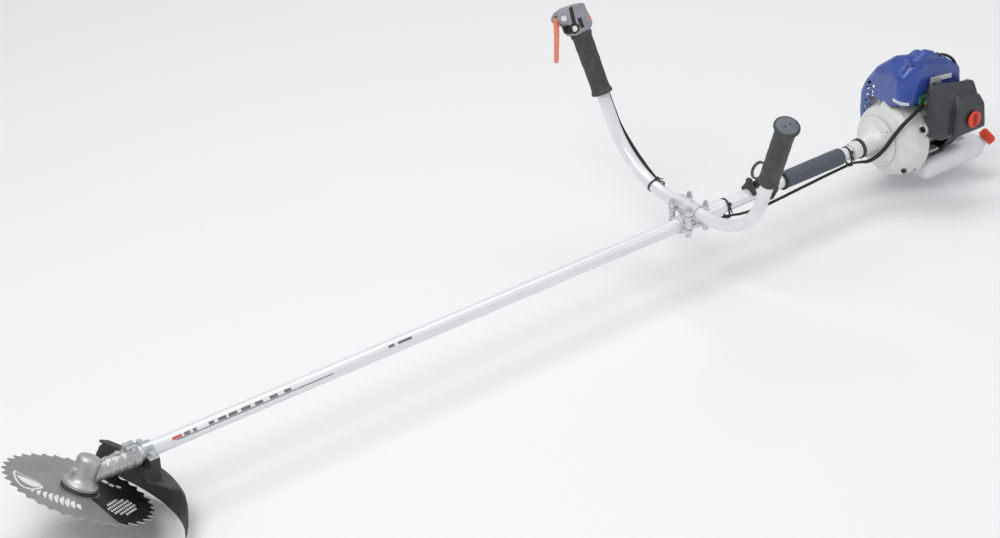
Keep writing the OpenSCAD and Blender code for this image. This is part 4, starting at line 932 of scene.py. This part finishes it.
cable("ignition_lead", spline(LEAD, 6), 2.7)
lathe("idle_adjuster", ADJUSTER_PROFILE,
      shift(1640.5, -64.2, 79) @ ALONG_X @ turn("X", -14), "brass", sides=40)
lathe("fuel_line_clip", CLIP_PROFILE, shift(1640, -54.5, 88) @ turn("X", 90) @ turn("Z", 45),
      "green_clip", sides=4)

# socket screws on the first casting surface met along +x
casting_surfaces = [surface_tree(NODES[node]) for node in ("fan_case", "crankcase")]
for k, (y, z) in enumerate(SCREW_PLACES):
    hits = [surface.ray_cast(place(1600, y, z), Vector((1, 0, 0)), 0.08)[0]
            for surface in casting_surfaces]
    found = [to_design(hit).x for hit in hits if hit is not None]
    if found:
        lathe("case_screw_%d" % k, SCREW_PROFILE,
              shift(min(*found, SCREW_LAST_X), y, z) @ ALONG_X,
              "black_steel", sides=48)


# ------------------------------------------------------------------ floor, light, camera
def make_floor(half=14.0, gap=0.0005):
    mesh = bpy.data.meshes.new("floor")
    mesh.from_pydata([(-half, -half, 0), (half, -half, 0), (half, half, 0), (-half, half, 0)],
                     [], [(0, 1, 2, 3)])
    floor = bpy.data.objects.new("floor", mesh)
    scene.collection.objects.link(floor)
    floor.location = (0, 0, cad_bounds[0][2] - gap)
    material = bpy.data.materials.new("floor_pale")
    material.use_nodes = True
    surface = material.node_tree.nodes["Principled BSDF"]
    surface.inputs["Base Color"].default_value = (0.9, 0.9, 0.9, 1)
    surface.inputs["Roughness"].default_value = 0.9
    mesh.materials.append(material)


def make_light(name, location, size, power):
    """A rectangular light aimed at the origin."""
    light = bpy.data.lights.new(name, "AREA")
    light.shape = "RECTANGLE"
    light.size, light.size_y = size
    light.energy = power
    ob = bpy.data.objects.new(name, light)
    scene.collection.objects.link(ob)
    ob.location = location
    ob.rotation_euler = (-Vector(location)).to_track_quat("-Z", "Y").to_euler()


def make_world():
    world = bpy.data.worlds.new("studio")
    world.use_nodes = True
    background = world.node_tree.nodes["Background"]
    background.inputs["Color"].default_value = (0.95, 0.97, 1.0, 1)
    background.inputs["Strength"].default_value = 0.42
    scene.world = world
    scene.view_settings.view_transform = "Standard"


def make_camera():
    data = bpy.data.cameras.new("camera")
    camera = bpy.data.objects.new("camera", data)
    scene.collection.objects.link(camera)
    data.sensor_fit = "HORIZONTAL"
    data.sensor_width = 36.0
    data.lens = 82.8
    data.clip_end = 50
    right = (0.800572, -0.597851, -0.040735)
    up = (0.332821, 0.387087, 0.859880)
    back = (-0.498312, -0.701953, 0.508868)
    axes = Matrix((right, up, back)).transposed().to_4x4()
    camera.matrix_world = Matrix.Translation(place(-1071.2, -2571.5, 1922.0)) @ axes
    scene.camera = camera


make_floor()
make_light("key", location=(-2.6, -1.2, 3.4), size=(2.2, 1.8), power=70)
make_light("fill", location=(2.6, -2.6, 2.2), size=(1.8, 1.8), power=16)
make_light("top", location=(0.2, 0.9, 3.6), size=(3.6, 1.8), power=55)
make_world()
make_camera()
